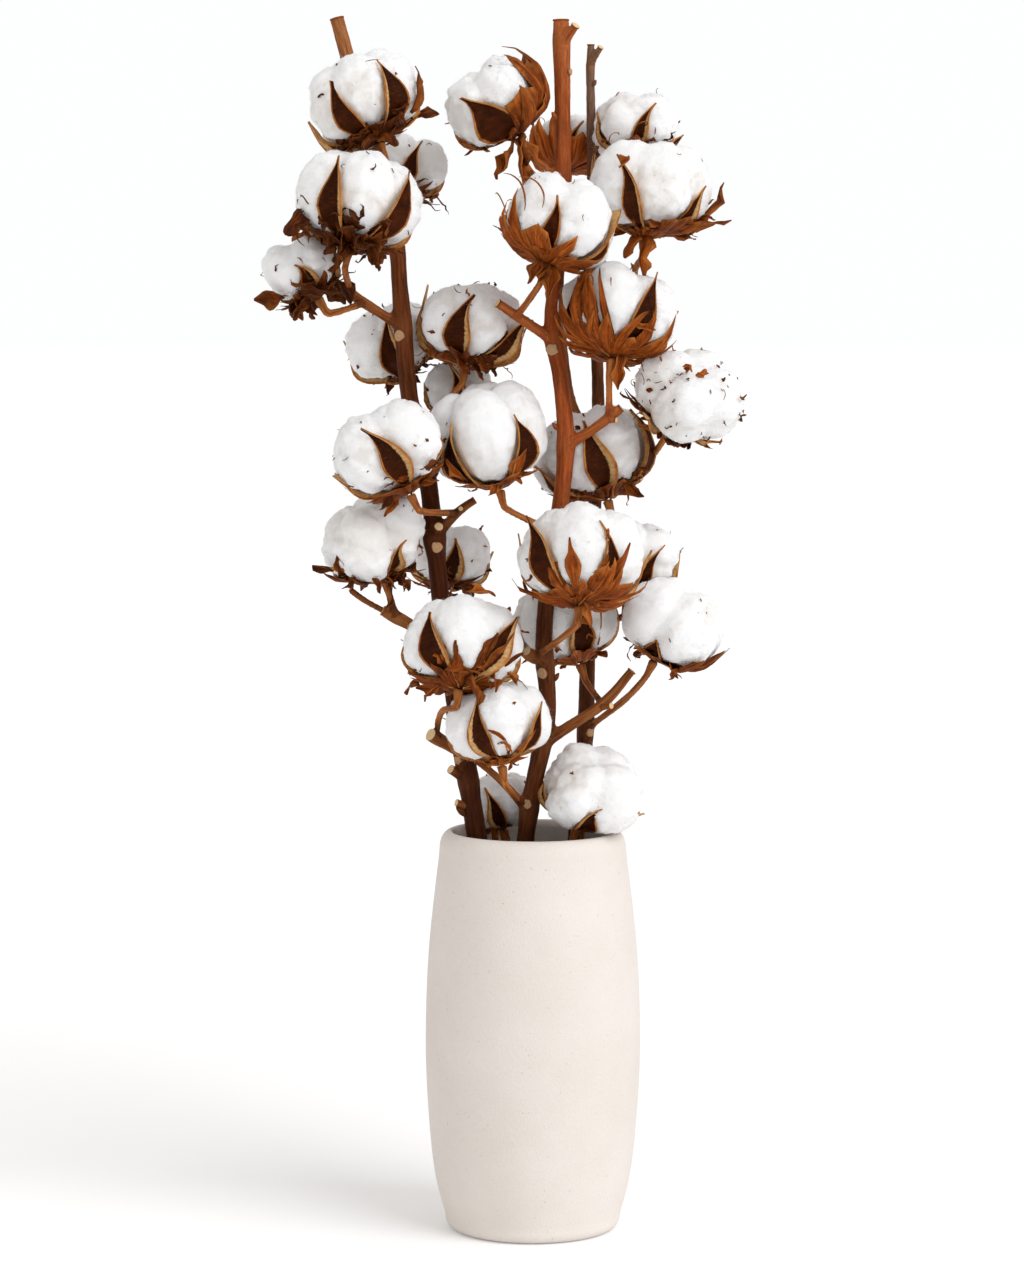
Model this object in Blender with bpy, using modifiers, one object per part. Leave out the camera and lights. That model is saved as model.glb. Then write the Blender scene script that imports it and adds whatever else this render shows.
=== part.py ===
"""Cotton stem bunch in a stoneware vase.

Three cut cotton stalks stand in a barrel-shaped vase. Each stalk forks into short side branches,
and every branch tip carries an open boll: a dry husk of four or five carpels with a mass of white
lint standing in it.

Metres, +Z up. The origin is the middle of the vase's flat foot, on the surface it stands on.
The front of the bunch faces -Y. The tables below are in millimetres, because a stalk or a boll is
read more easily that way.
"""
import random
from math import acos, atan2, cos, pi, radians, sin, sqrt

import bmesh
import bpy
from mathutils import Matrix, Vector

MM = 0.001
GAP = 0.3                    # clearance between touching pieces
WELD = 0.01                  # points of one mesh closer than this are one point

# ---- vase ---------------------------------------------------------------------------------------
VASE_HEIGHT = 250.0
VASE_FOOT_RADIUS = 49.5      # edge of the flat face it rests on
VASE_FOOT_ROUND = 4.0
VASE_WALL = 6.4
VASE_FLOOR = 8.0
VASE_STEPS = 48
# (height, outer radius) up the side of the barrel, between the rounded foot and the rounded lip
VASE_SIDE = [(4.0, 53.5), (34.0, 61.2), (78.0, 65.6), (124.0, 67.0), (180.0, 64.6), (246.0, 57.0)]

# ---- bolls --------------------------------------------------------------------------------------
LINT_HEIGHT_RATIO = 1.25     # how much taller than round the locks of lint stand
TALL_BOLLS = {8: 1.45}       # the same for bolls that opened taller
RINGS = 7                    # rings of the ball of lint, from its base to its top
COLUMNS = 3                  # columns of the ball for each carpel, the first on its middle
LOCK_OFFSET = 0.45           # a lock's middle from the boll's axis, as a part of the boll's radius
LOCK_RADIUS = 0.57
CORE_RADIUS = 0.55           # the lint between the locks, down to the husk
CORE_DROP = 0.15
LOCK_VARIATION = 0.05
HUSK_THICKNESS = 1.2
HUSK_CLEARANCE = 0.8
NOTCH_RING = 2               # the ring that the notches between the carpels reach down to
TIP_RING = 4                 # and the one that the carpels' tips reach up to
TIP_SHARE = 0.1              # a carpel's tip, and the middle of a notch, as parts of a turn from
NOTCH_SHARE = 0.4            # carpel to carpel, either side of the carpel's middle
HUSK_FLARE = 2.0             # how far the tips stand off the lint

# number: (middle of the lint, radius, direction from husk to lint, carpels, turn of the first one)
# The turn is in degrees round the boll's own axis, from the front towards the right.
BOLLS = {
    1: ((-104, -24, 698), 30, (-0.38, 0.28, 0.88), 5, -25),
    2: ((-106, -40, 637), 32, (0.18, 0.28, 0.94), 5, -28),
    3: ((-141, -26, 597), 21, (-0.50, 0.20, 0.84), 4, 0),
    4: ((-88, 43, 552), 27, (-0.35, 0.00, 0.94), 4, -10),
    5: ((-38, 14, 563), 28, (0.15, 0.25, 0.96), 5, -20),
    6: ((-47, 46, 522), 20, (-0.10, 0.20, 0.97), 4, 0),
    7: ((-88, -44, 488), 32, (-0.45, 0.12, 0.88), 4, -12),
    8: ((-28, -14, 496), 32, (-0.22, -0.08, 0.97), 4, 40),
    9: ((-99, -16, 433), 29, (-0.28, -0.10, 0.95), 4, 30),
    10: ((-51, 40, 418), 23, (0.10, 0.20, 0.97), 4, 0),
    11: ((-44, -45, 369), 31, (0.05, 0.50, 0.86), 5, -32),
    12: ((-23, -43, 321), 27, (-0.15, 0.20, 0.97), 5, -22),
    13: ((-20, 26, 265), 19, (-0.10, -0.10, 0.99), 4, -5),
    14: ((-24, -6, 699), 27, (-0.55, -0.10, 0.83), 4, -30),
    15: ((22, 66, 676), 19, (0.00, 0.35, 0.94), 4, 0),
    16: ((65, 34, 684), 24, (0.12, 0.42, 0.90), 5, 0),
    17: ((70, -14, 646), 32, (0.08, 0.10, 0.99), 5, -16),
    18: ((16, -38, 626), 31, (0.30, 0.20, 0.93), 4, -10),
    19: ((51, -14, 570), 31, (0.12, 0.36, 0.93), 4, 28),
    20: ((94, -16, 521), 29, (0.35, -0.55, 0.75), 4, 45),
    21: ((38, 22, 483), 32, (-0.28, 0.20, 0.94), 5, 4),
    22: ((-76, 38, 660), 20, (0.20, 0.30, 0.93), 4, 0),
    23: ((29, -46, 423), 33, (0.05, 0.35, 0.93), 5, -40),
    24: ((64, 12, 419), 24, (0.20, 0.00, 0.98), 4, 10),
    25: ((21, 22, 379), 30, (-0.30, 0.10, 0.95), 4, 10),
    26: ((87, -10, 380), 28, (0.45, -0.10, 0.88), 4, -15),
    27: ((35, -17, 277), 28, (0.30, -0.25, 0.92), 4, 15),
}

# ---- stalks -------------------------------------------------------------------------------------
STEM_STEPS = 2               # tube rings for each stretch between two points of a stem's route
BRANCH_STEPS = 2
BOLL_STEM_STEPS = 3
BOLL_STEM_RADIUS = 2.2
BOLL_STEM_COLLAR = 3.4       # radius of the thickened end under the husk
COLLAR_LENGTH = 11.0
COLLAR_SHARE = 0.4           # the most of a short boll stem that its collar takes
STEM_SIDES = 8
BRANCH_SIDES = 6

# "stem" is the cut stalk from the vase's floor to its top: x, y, z, radius.
# "branches" leave a stem or another branch at a height, and end in a cut face.
# "bolls" says for each boll what its own stem grows from, and at what height.
STALKS = {
    "stalk_left": {
        "colour": (0.075, 0.030, 0.014),
        "stem": [
            (3, -15, VASE_FLOOR, 6.6), (-17, -11, 128, 6.5), (-34.5, -7, 245, 6.3),
            (-41, -6, 288, 6.2), (-48, -5, 331, 6.0), (-57, -3, 394, 5.8), (-65, 0, 468, 5.6),
            (-76, 3, 517, 5.5), (-82, 6, 585, 5.2), (-85, 10, 615, 5.0), (-99, 15, 670, 4.7),
            (-121, 20, 752, 4.4),
        ],
        "branches": {
            "fork_top": ("stem", 562, [(-104, 2, 577), (-125, 0, 592)], 3.2, 2.7),
            "fork_middle": ("stem", 432, [(-47, -7, 448), (-36, -6, 456)], 3.0, 2.4),
            "node_stub": ("stem", 433, [(-58, -12, 440)], 3.2, 2.8),
            "fork_low": ("stem", 364, [(-74, -8, 378), (-93, -10, 388)], 3.6, 3.2),
            "twig_low": ("fork_low", 383, [(-102, -9, 393), (-113, -11, 401)], 1.6, 1.2),
            "fork_front": ("stem", 299, [(-53, -18, 306), (-63, -28, 313)], 3.9, 3.9),
            "stub_front": ("stem", 282, [(-51, -15, 290)], 3.4, 2.9),
        },
        "bolls": {
            1: ("stem", 646), 2: ("fork_top", 583), 3: ("fork_top", 577), 4: ("stem", 503),
            5: ("stem", 500), 6: ("stem", 474), 7: ("fork_middle", 448),
            9: ("fork_low", 384), 10: ("stem", 372), 11: ("fork_front", 311),
            22: ("stem", 612),
        },
    },
    "stalk_middle": {
        "colour": (0.170, 0.050, 0.018),
        "stem": [
            (-25, 10, VASE_FLOOR, 5.6), (-14, 4, 128, 5.6), (-4, -4, 250, 5.5),
            (6, -9, 306, 5.4), (9, -11, 331, 5.4), (7, -11, 381, 5.3), (17, -11, 455, 5.2),
            (20, -11, 492, 5.2), (17, -8, 530, 5.2), (12, -4, 560, 5.3), (14, 0, 591, 5.2),
            (18, 4, 658, 5.1), (18, 5, 700, 5.0), (17, 6, 750, 5.0),
        ],
        "branches": {
            "twig_front": ("stem", 262, [(-20, -14, 283), (-37, -22, 298)], 2.6, 2.3),
            "node_stub": ("stem", 356, [(-4, -22, 364)], 3.4, 3.0),
            "fork_low": ("stem", 305, [(25, -11, 318), (44, -12, 331), (61, -13, 351)], 3.7, 2.9),
            "fork_middle": ("stem", 490, [(37, -14, 500), (54, -16, 513)], 3.2, 2.8),
            "fork_high": ("stem", 554, [(-4, -12, 565), (-22, -20, 577)], 3.3, 2.8),
            "top_stub": ("stem", 734, [(26, -2, 746)], 3.0, 2.7),
        },
        "bolls": {
            8: ("stem", 436), 12: ("twig_front", 268), 13: ("stem", 224), 14: ("stem", 651),
            18: ("fork_high", 569), 19: ("fork_middle", 507), 23: ("node_stub", 360),
            25: ("fork_low", 330), 27: ("stem", 216),
        },
    },
    "stalk_right": {
        "colour": (0.110, 0.060, 0.035),
        "stem": [
            (13, 22, VASE_FLOOR, 5.3), (21, 25, 128, 5.3), (28, 31, 250, 5.3),
            (33, 42, 300, 5.2), (35, 54, 357, 5.0), (36, 58, 394, 4.8), (41, 60, 480, 4.3),
            (41, 54, 529, 4.0), (38, 46, 600, 3.5), (36, 40, 700, 2.9), (36, 38, 737, 2.3),
        ],
        "branches": {
            "fork_back": ("stem", 488, [(27, 62, 510), (21, 58, 540), (17, 56, 588)], 2.6, 2.0),
            "top_stub": ("stem", 725, [(42, 32, 735)], 2.0, 1.9),
        },
        "bolls": {
            15: ("stem", 634), 16: ("stem", 640), 17: ("stem", 552), 20: ("stem", 466),
            21: ("stem", 430), 24: ("stem", 372), 26: ("stem", 308),
        },
    },
}

# A boll stem that has to pass round something on its way takes these points.
DETOURS = {
    11: [(-56, -37, 328)],
    17: [(60, 24, 574), (63, 12, 597)],
    20: [(70, 40, 478)],
    24: [(56, 36, 380)],
    26: [(57, 13, 330)],
}

# ---- finishes -----------------------------------------------------------------------------------
STONEWARE = (0.80, 0.75, 0.68)
LINT_WHITE = (0.90, 0.89, 0.87)
HUSK_BROWN = (0.150, 0.055, 0.020)


def clear_scene():
    for item in list(bpy.data.objects):
        bpy.data.objects.remove(item, do_unlink=True)


def new_collection(name):
    collection = bpy.data.collections.new(name)
    bpy.context.scene.collection.children.link(collection)
    return collection


def finish(item, colour, roughness):
    """Give an object its own Principled material."""
    material = bpy.data.materials.new(item.name)
    material.use_nodes = True
    shader = material.node_tree.nodes["Principled BSDF"]
    shader.inputs["Base Color"].default_value = (*colour, 1.0)
    shader.inputs["Roughness"].default_value = roughness
    shader.inputs["Metallic"].default_value = 0.0
    item.data.materials.clear()
    item.data.materials.append(material)


def object_from_bmesh(name, bm, collection):
    mesh = bpy.data.meshes.new(name)
    bm.to_mesh(mesh)
    bm.free()
    item = bpy.data.objects.new(name, mesh)
    collection.objects.link(item)
    return item


def smooth_route(points, steps):
    """A Catmull-Rom curve through the points, with the given steps for each stretch."""
    ends = [points[0]] + list(points) + [points[-1]]
    route = []
    for a, b, c, d in zip(ends, ends[1:], ends[2:], ends[3:]):
        for step in range(steps):
            t = step / steps
            route.append(tuple(
                0.5 * (2 * q + (r - p) * t + (2 * p - 5 * q + 4 * r - s) * t * t
                       + (3 * q - p - 3 * r + s) * t ** 3)
                for p, q, r, s in zip(a, b, c, d)))
    route.append(tuple(points[-1]))
    return route


def point_at_height(route, height):
    """The point and radius of a rising route at a height."""
    for low, high in zip(route, route[1:]):
        if low[2] <= height <= high[2]:
            share = (height - low[2]) / (high[2] - low[2])
            return tuple(a + (b - a) * share for a, b in zip(low, high))
    raise ValueError(f"no point at height {height}")


# ---- vase ---------------------------------------------------------------------------------------
def arc(centre, radius, start, end, steps):
    """Points of a circular arc in the profile plane, from start to end in degrees."""
    angles = [radians(start + (end - start) * i / steps) for i in range(steps + 1)]
    return [(centre[0] + radius * cos(a), centre[1] + radius * sin(a)) for a in angles]


def vase_profile():
    """Half section (radius, height) from the inner floor's middle, over the lip, to the foot."""
    side = [(radius, height) for height, radius in smooth_route(VASE_SIDE, 2)]
    lip_radius = VASE_WALL / 2
    lip_centre = (side[-1][0] - lip_radius, VASE_HEIGHT - lip_radius)
    inner = [(r - VASE_WALL, z) for r, z in side[1:-1:2] if z > VASE_FLOOR + VASE_FOOT_ROUND]
    floor_edge = (inner[0][0] - VASE_WALL, VASE_FLOOR)
    lip = arc(lip_centre, lip_radius, 180, 0, 6)
    outer = list(reversed(side[:-1]))
    foot = arc((VASE_FOOT_RADIUS, VASE_FOOT_ROUND), VASE_FOOT_ROUND, -30, -90, 2)
    return [(0, VASE_FLOOR), floor_edge] + inner + lip + outer + foot + [(0, 0)]


def make_vase(collection):
    bm = bmesh.new()
    points = [bm.verts.new((r * MM, 0, z * MM)) for r, z in vase_profile()]
    for a, b in zip(points, points[1:]):
        bm.edges.new((a, b))
    vase = object_from_bmesh("vase", bm, collection)
    turn = vase.modifiers.new("turn", 'SCREW')
    turn.angle = 2 * pi
    turn.steps = VASE_STEPS
    turn.render_steps = VASE_STEPS
    turn.use_merge_vertices = True
    turn.merge_threshold = 0.00005
    turn.use_smooth_shade = True
    finish(vase, STONEWARE, 0.75)


# ---- bolls --------------------------------------------------------------------------------------
class Boll:
    """One open boll, with its own frame: +Z from husk to lint, +X towards the front."""

    def __init__(self, number, middle, radius, axis, carpels, turn):
        self.number = number
        self.middle = Vector(middle)
        self.radius = radius
        self.axis = Vector(axis).normalized()
        self.carpels = carpels
        self.height_ratio = TALL_BOLLS.get(number, LINT_HEIGHT_RATIO)
        front = Vector((0, -1, 0))
        front = (front - self.axis * front.dot(self.axis)).normalized()
        side = self.axis.cross(front)
        frame = Matrix((front, side, self.axis)).transposed()
        self.frame = frame @ Matrix.Rotation(radians(turn), 3, 'Z')
        sizes = random.Random(number)
        self.lock_sizes = [1 + sizes.uniform(-LOCK_VARIATION, LOCK_VARIATION)
                           for _ in range(carpels)]

    def name(self, piece):
        return f"boll_{self.number:02d}_{piece}"

    def lint_reach(self, direction):
        """Distance from the boll's middle to the lint's surface, along a unit direction."""
        squashed = Vector((direction.x, direction.y, direction.z / self.height_ratio))
        stretch = squashed.length
        ray = squashed / stretch
        balls = [(Vector((0, 0, -CORE_DROP)), CORE_RADIUS)]
        for i, size in enumerate(self.lock_sizes):
            angle = 2 * pi * (i + 0.5) / self.carpels
            middle = Vector((cos(angle), sin(angle), 0)) * LOCK_OFFSET
            balls.append((middle, LOCK_RADIUS * size))
        reach = 0
        for middle, radius in balls:
            along = ray.dot(middle)
            inside = radius ** 2 - middle.length_squared + along ** 2
            if inside > 0:
                reach = max(reach, along + sqrt(inside))
        return self.radius * reach / stretch

    def base_depth(self):
        """From the boll's middle down its axis to the outside of the husk."""
        return self.lint_reach(Vector((0, 0, -1))) + HUSK_CLEARANCE + HUSK_THICKNESS

    def base(self):
        return self.middle - self.axis * self.base_depth()

    def place(self, point):
        """A point of the boll's frame, in the vase's frame and in metres."""
        return (self.middle + self.frame @ point) * MM


def lint_ball(boll, clearance):
    """A ball of lint whose locks bulge out between the carpels, in the boll's frame."""
    bm = bmesh.new()
    bmesh.ops.create_uvsphere(bm, u_segments=COLUMNS * boll.carpels, v_segments=RINGS, radius=1)
    for vertex in bm.verts:
        direction = vertex.co.normalized()
        vertex.co = direction * (boll.lint_reach(direction) + clearance)
    return bm


def make_lint(boll, collection):
    bm = lint_ball(boll, 0.0)
    bmesh.ops.triangulate(bm, faces=bm.faces, quad_method='FIXED')
    for vertex in bm.verts:
        vertex.co = boll.place(vertex.co)
    lint = object_from_bmesh(boll.name("lint"), bm, collection)
    finish(lint, LINT_WHITE, 0.95)


def rings_up(direction):
    """How many rings of the ball a direction lies above the husk's base."""
    return acos(max(-1.0, min(1.0, -direction.z))) / (pi / RINGS)


def make_husk(boll, collection):
    """A cup of pointed carpels that follows the lint's own faces, thickened outwards."""
    bm = lint_ball(boll, HUSK_CLEARANCE)
    above = [v for v in bm.verts if rings_up(v.co.normalized()) > TIP_RING + 0.5]
    bmesh.ops.delete(bm, geom=above, context='VERTS')

    def turns_from_tip(point):
        """Turn to the nearest carpel's middle, as a part of the turn from carpel to carpel."""
        turn = atan2(point.y, point.x) * boll.carpels / (2 * pi)
        return abs(turn - round(turn))

    moves = {}
    for vertex in bm.verts:
        if rings_up(vertex.co.normalized()) < TIP_RING - 0.5:
            continue
        if turns_from_tip(vertex.co) > TIP_SHARE:
            neighbours = [edge.other_vert(vertex) for edge in vertex.link_edges]
            moves[vertex] = min((v.co.copy() for v in neighbours), key=lambda co: co.z)
        else:
            moves[vertex] = vertex.co * (1 + HUSK_FLARE / vertex.co.length)
    for vertex, place in moves.items():
        vertex.co = place
    bmesh.ops.remove_doubles(bm, verts=bm.verts, dist=GAP)
    notches = []
    for face in bm.faces:
        middle = face.calc_center_median()
        if turns_from_tip(middle) > NOTCH_SHARE and rings_up(middle.normalized()) > NOTCH_RING:
            notches.append(face)
    bmesh.ops.delete(bm, geom=notches, context='FACES')
    loose = [e for e in bm.edges if not e.link_faces]
    bmesh.ops.delete(bm, geom=loose, context='EDGES')
    bmesh.ops.triangulate(bm, faces=bm.faces, quad_method='FIXED')
    for vertex in bm.verts:
        vertex.co = boll.place(vertex.co)
    husk = object_from_bmesh(boll.name("husk"), bm, collection)
    shell = husk.modifiers.new("shell", 'SOLIDIFY')
    shell.thickness = HUSK_THICKNESS * MM
    shell.offset = 1.0
    finish(husk, HUSK_BROWN, 0.7)


# ---- stalks -------------------------------------------------------------------------------------
def tube(name, route, sides, collection):
    """A closed mesh tube along a route of x, y, z and radius."""
    curve = bpy.data.curves.new(name, 'CURVE')
    curve.dimensions = '3D'
    curve.bevel_depth = MM
    curve.bevel_resolution = (sides - 4) // 2       # a bevel has four sides and two for each step
    curve.use_fill_caps = True
    spline = curve.splines.new('POLY')
    spline.points.add(len(route) - 1)
    for point, (x, y, z, radius) in zip(spline.points, route):
        point.co = (x * MM, y * MM, z * MM, 1)
        point.radius = radius
    guide = bpy.data.objects.new(name, curve)
    collection.objects.link(guide)
    graph = bpy.context.evaluated_depsgraph_get()
    mesh = bpy.data.meshes.new_from_object(guide.evaluated_get(graph))
    bpy.data.objects.remove(guide)
    bm = bmesh.new()
    bm.from_mesh(mesh)
    bmesh.ops.remove_doubles(bm, verts=bm.verts, dist=WELD * MM)
    bmesh.ops.recalc_face_normals(bm, faces=bm.faces)
    bpy.data.meshes.remove(mesh)
    return object_from_bmesh(name, bm, collection)


def branch_route(start, points, first_radius, last_radius):
    """A smooth cut branch from its parent's middle through the points."""
    stops = [start[:3]] + points
    last = len(stops) - 1
    radii = [first_radius + (last_radius - first_radius) * i / last for i in range(len(stops))]
    return smooth_route([(*stop, radius) for stop, radius in zip(stops, radii)], BRANCH_STEPS)


def boll_stem_route(start, boll):
    """From the parent's middle out to the husk's base, with a straight collar along its axis."""
    end = boll.base() - boll.axis * GAP
    begin = Vector(start[:3])
    lead = end - boll.axis * min(COLLAR_LENGTH, COLLAR_SHARE * (end - begin).length)
    detour = [Vector(point) for point in DETOURS.get(boll.number, [])]
    stops = [(*stop, BOLL_STEM_RADIUS) for stop in (begin, *detour, lead, end)]
    route = smooth_route(stops, BOLL_STEM_STEPS)
    return route[:-BOLL_STEM_STEPS] + [(*end, BOLL_STEM_COLLAR)]


def stem_route(points):
    """The stem's smooth route, raised so that the low edge of its slanted cut clears the floor."""
    route = smooth_route(points, STEM_STEPS)
    x, y, z, radius = route[0]
    rise = Vector(route[1][:3]) - Vector(route[0][:3])
    slant = rise.xy.length / rise.length
    route[0] = (x, y, z + GAP + radius * slant, radius)
    return route


def make_stalk(name, plan, bolls, collection, guides):
    """One stalk: stem, cut branches and boll stems joined into a single solid."""
    routes = {"stem": stem_route(plan["stem"])}
    stalk = tube(name, routes["stem"], STEM_SIDES, collection)
    shoots = []
    for branch, (parent, height, points, first, last) in plan["branches"].items():
        start = point_at_height(routes[parent], height)
        routes[branch] = branch_route(start, points, first, last)
        shoots.append(tube(f"{name}_{branch}", routes[branch], BRANCH_SIDES, guides))
    for number, (parent, height) in plan["bolls"].items():
        start = point_at_height(routes[parent], height)
        route = boll_stem_route(start, bolls[number])
        shoots.append(tube(f"{name}_boll_stem_{number:02d}", route, BRANCH_SIDES, guides))
    for shoot in shoots:
        shoot.display_type = 'WIRE'
        shoot.hide_render = True
        join = stalk.modifiers.new(shoot.name, 'BOOLEAN')
        join.operation = 'UNION'
        join.solver = 'EXACT'
        join.object = shoot
    finish(stalk, plan["colour"], 0.65)


def main():
    clear_scene()
    collection = new_collection("cotton_stem_bunch")
    guides = new_collection("guides")
    bolls = {number: Boll(number, *shape) for number, shape in BOLLS.items()}
    make_vase(collection)
    for name, plan in STALKS.items():
        make_stalk(name, plan, bolls, collection, guides)
    for boll in bolls.values():
        make_lint(boll, collection)
        make_husk(boll, collection)


main()
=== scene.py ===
"""Cotton stem bunch in a stoneware vase: the looks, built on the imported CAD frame.

Lengths are in millimetres and angles in degrees, unless a line says otherwise. The tables of the
vase, bolls and stalks repeat part.py's, which can't be read here.
"""
import random
from math import cos, pi, radians, sin, sqrt

import bmesh
import bpy
import numpy as np
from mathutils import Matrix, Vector
from mathutils.kdtree import KDTree


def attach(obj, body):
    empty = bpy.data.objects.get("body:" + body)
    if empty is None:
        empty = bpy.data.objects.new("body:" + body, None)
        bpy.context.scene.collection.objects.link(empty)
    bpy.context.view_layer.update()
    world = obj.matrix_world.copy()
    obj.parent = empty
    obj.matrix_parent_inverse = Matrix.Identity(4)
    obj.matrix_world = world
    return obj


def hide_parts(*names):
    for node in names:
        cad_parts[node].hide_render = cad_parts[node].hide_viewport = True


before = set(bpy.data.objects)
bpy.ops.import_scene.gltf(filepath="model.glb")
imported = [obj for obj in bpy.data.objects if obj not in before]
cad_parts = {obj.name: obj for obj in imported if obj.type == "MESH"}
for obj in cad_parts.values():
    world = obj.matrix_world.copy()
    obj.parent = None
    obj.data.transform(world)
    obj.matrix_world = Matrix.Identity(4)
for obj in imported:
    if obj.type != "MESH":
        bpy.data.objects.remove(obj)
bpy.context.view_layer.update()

MM = 0.001

# ---- vase: as part.py has it, then the visual mesh's own numbers ------------------------------
VASE_HEIGHT = 250.0
VASE_FOOT_RADIUS = 49.5      # edge of the flat face it rests on
VASE_WALL = 6.4
VASE_FLOOR = 8.0
# (height, outer radius) up the side of the barrel
VASE_SIDE = [(4.0, 53.5), (34.0, 61.2), (78.0, 65.6), (124.0, 67.0), (180.0, 64.6), (246.0, 57.0)]
VASE_SIDES = 112             # points round it
SHOULDER = 239.0             # height where the lip's curve starts
CROWN = 51.4                 # radius of the lip's highest line
LOW_ROUND = 7.0              # radius of the curve above the foot
INNER_LOW, INNER_HIGH = 16.0, 236.0    # heights where the inner wall follows the outer one

# ---- bolls --------------------------------------------------------------------------------------
LINT_HEIGHT_RATIO = 1.25     # how much taller than round the locks of lint stand
TALL_BOLLS = {8: 1.45}       # the same for bolls that opened taller
LOCK_OFFSET = 0.45           # a lock's middle from the boll's axis, as a part of the boll's radius
LOCK_RADIUS = 0.57
CORE_RADIUS = 0.55           # the lint between the locks, down to the husk
CORE_DROP = 0.15
LOCK_VARIATION = 0.05
LOCK_SHARPNESS = 34.0        # how sharply the locks meet
HUSK_THICKNESS = 1.2
HUSK_CLEARANCE = 0.8
CARPEL_V = np.array([-1, -0.9, -0.62, -0.3, 0, 0.3, 0.62, 0.9, 1])     # a row's points, side to side
CARPEL_ROWS = 17
CARPEL_FOOT = 0.1            # polar angle where the carpels start, radians
BRACT_FOOT = 0.14            # and where the bracts do
CARPEL_GRAIN = 8.0           # grain across half a carpel, mm
BRACT_ROWS = 10
TOOTH_W = np.array([-1, -0.55, -0.2, 0, 0.2, 0.55])     # points across a tooth, but for its last
TUFTS = 64                   # small lumps on each boll's lint

# ---- stalks -------------------------------------------------------------------------------------
STEM_STEPS = 6               # rings for each stretch between two points of a stem's route
BOLL_STEM_STEPS = 8
BOLL_STEM_RADIUS = 2.2
BOLL_STEM_COLLAR = 3.4       # radius of the thickened end under the husk
COLLAR_LENGTH = 11.0
COLLAR_SHARE = 0.4           # the most of a short boll stem that its collar takes
THINNEST = 2.0               # least radius of any tube, so that the remesh keeps it
VOXEL = 1.5

# number: (middle of the lint, radius, direction from husk to lint, carpels, turn of the first one)
BOLLS = {
    1: ((-104, -24, 698), 30, (-0.38, 0.28, 0.88), 5, -25),
    2: ((-106, -40, 637), 32, (0.18, 0.28, 0.94), 5, -28),
    3: ((-141, -26, 597), 21, (-0.5, 0.2, 0.84), 4, 0),
    4: ((-88, 43, 552), 27, (-0.35, 0.0, 0.94), 4, -10),
    5: ((-38, 14, 563), 28, (0.15, 0.25, 0.96), 5, -20),
    6: ((-47, 46, 522), 20, (-0.1, 0.2, 0.97), 4, 0),
    7: ((-88, -44, 488), 32, (-0.45, 0.12, 0.88), 4, -12),
    8: ((-28, -14, 496), 32, (-0.22, -0.08, 0.97), 4, 40),
    9: ((-99, -16, 433), 29, (-0.28, -0.1, 0.95), 4, 30),
    10: ((-51, 40, 418), 23, (0.1, 0.2, 0.97), 4, 0),
    11: ((-44, -45, 369), 31, (0.05, 0.5, 0.86), 5, -32),
    12: ((-23, -43, 321), 27, (-0.15, 0.2, 0.97), 5, -22),
    13: ((-20, 26, 265), 19, (-0.1, -0.1, 0.99), 4, -5),
    14: ((-24, -6, 699), 27, (-0.55, -0.1, 0.83), 4, -30),
    15: ((22, 66, 676), 19, (0.0, 0.35, 0.94), 4, 0),
    16: ((65, 34, 684), 24, (0.12, 0.42, 0.9), 5, 0),
    17: ((70, -14, 646), 32, (0.08, 0.1, 0.99), 5, -16),
    18: ((16, -38, 626), 31, (0.3, 0.2, 0.93), 4, -10),
    19: ((51, -14, 570), 31, (0.12, 0.36, 0.93), 4, 28),
    20: ((94, -16, 521), 29, (0.35, -0.55, 0.75), 4, 45),
    21: ((38, 22, 483), 32, (-0.28, 0.2, 0.94), 5, 4),
    22: ((-76, 38, 660), 20, (0.2, 0.3, 0.93), 4, 0),
    23: ((29, -46, 423), 33, (0.05, 0.35, 0.93), 5, -40),
    24: ((64, 12, 419), 24, (0.2, 0.0, 0.98), 4, 10),
    25: ((21, 22, 379), 30, (-0.3, 0.1, 0.95), 4, 10),
    26: ((87, -10, 380), 28, (0.45, -0.1, 0.88), 4, -15),
    27: ((35, -17, 277), 28, (0.3, -0.25, 0.92), 4, 15),
}

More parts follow.
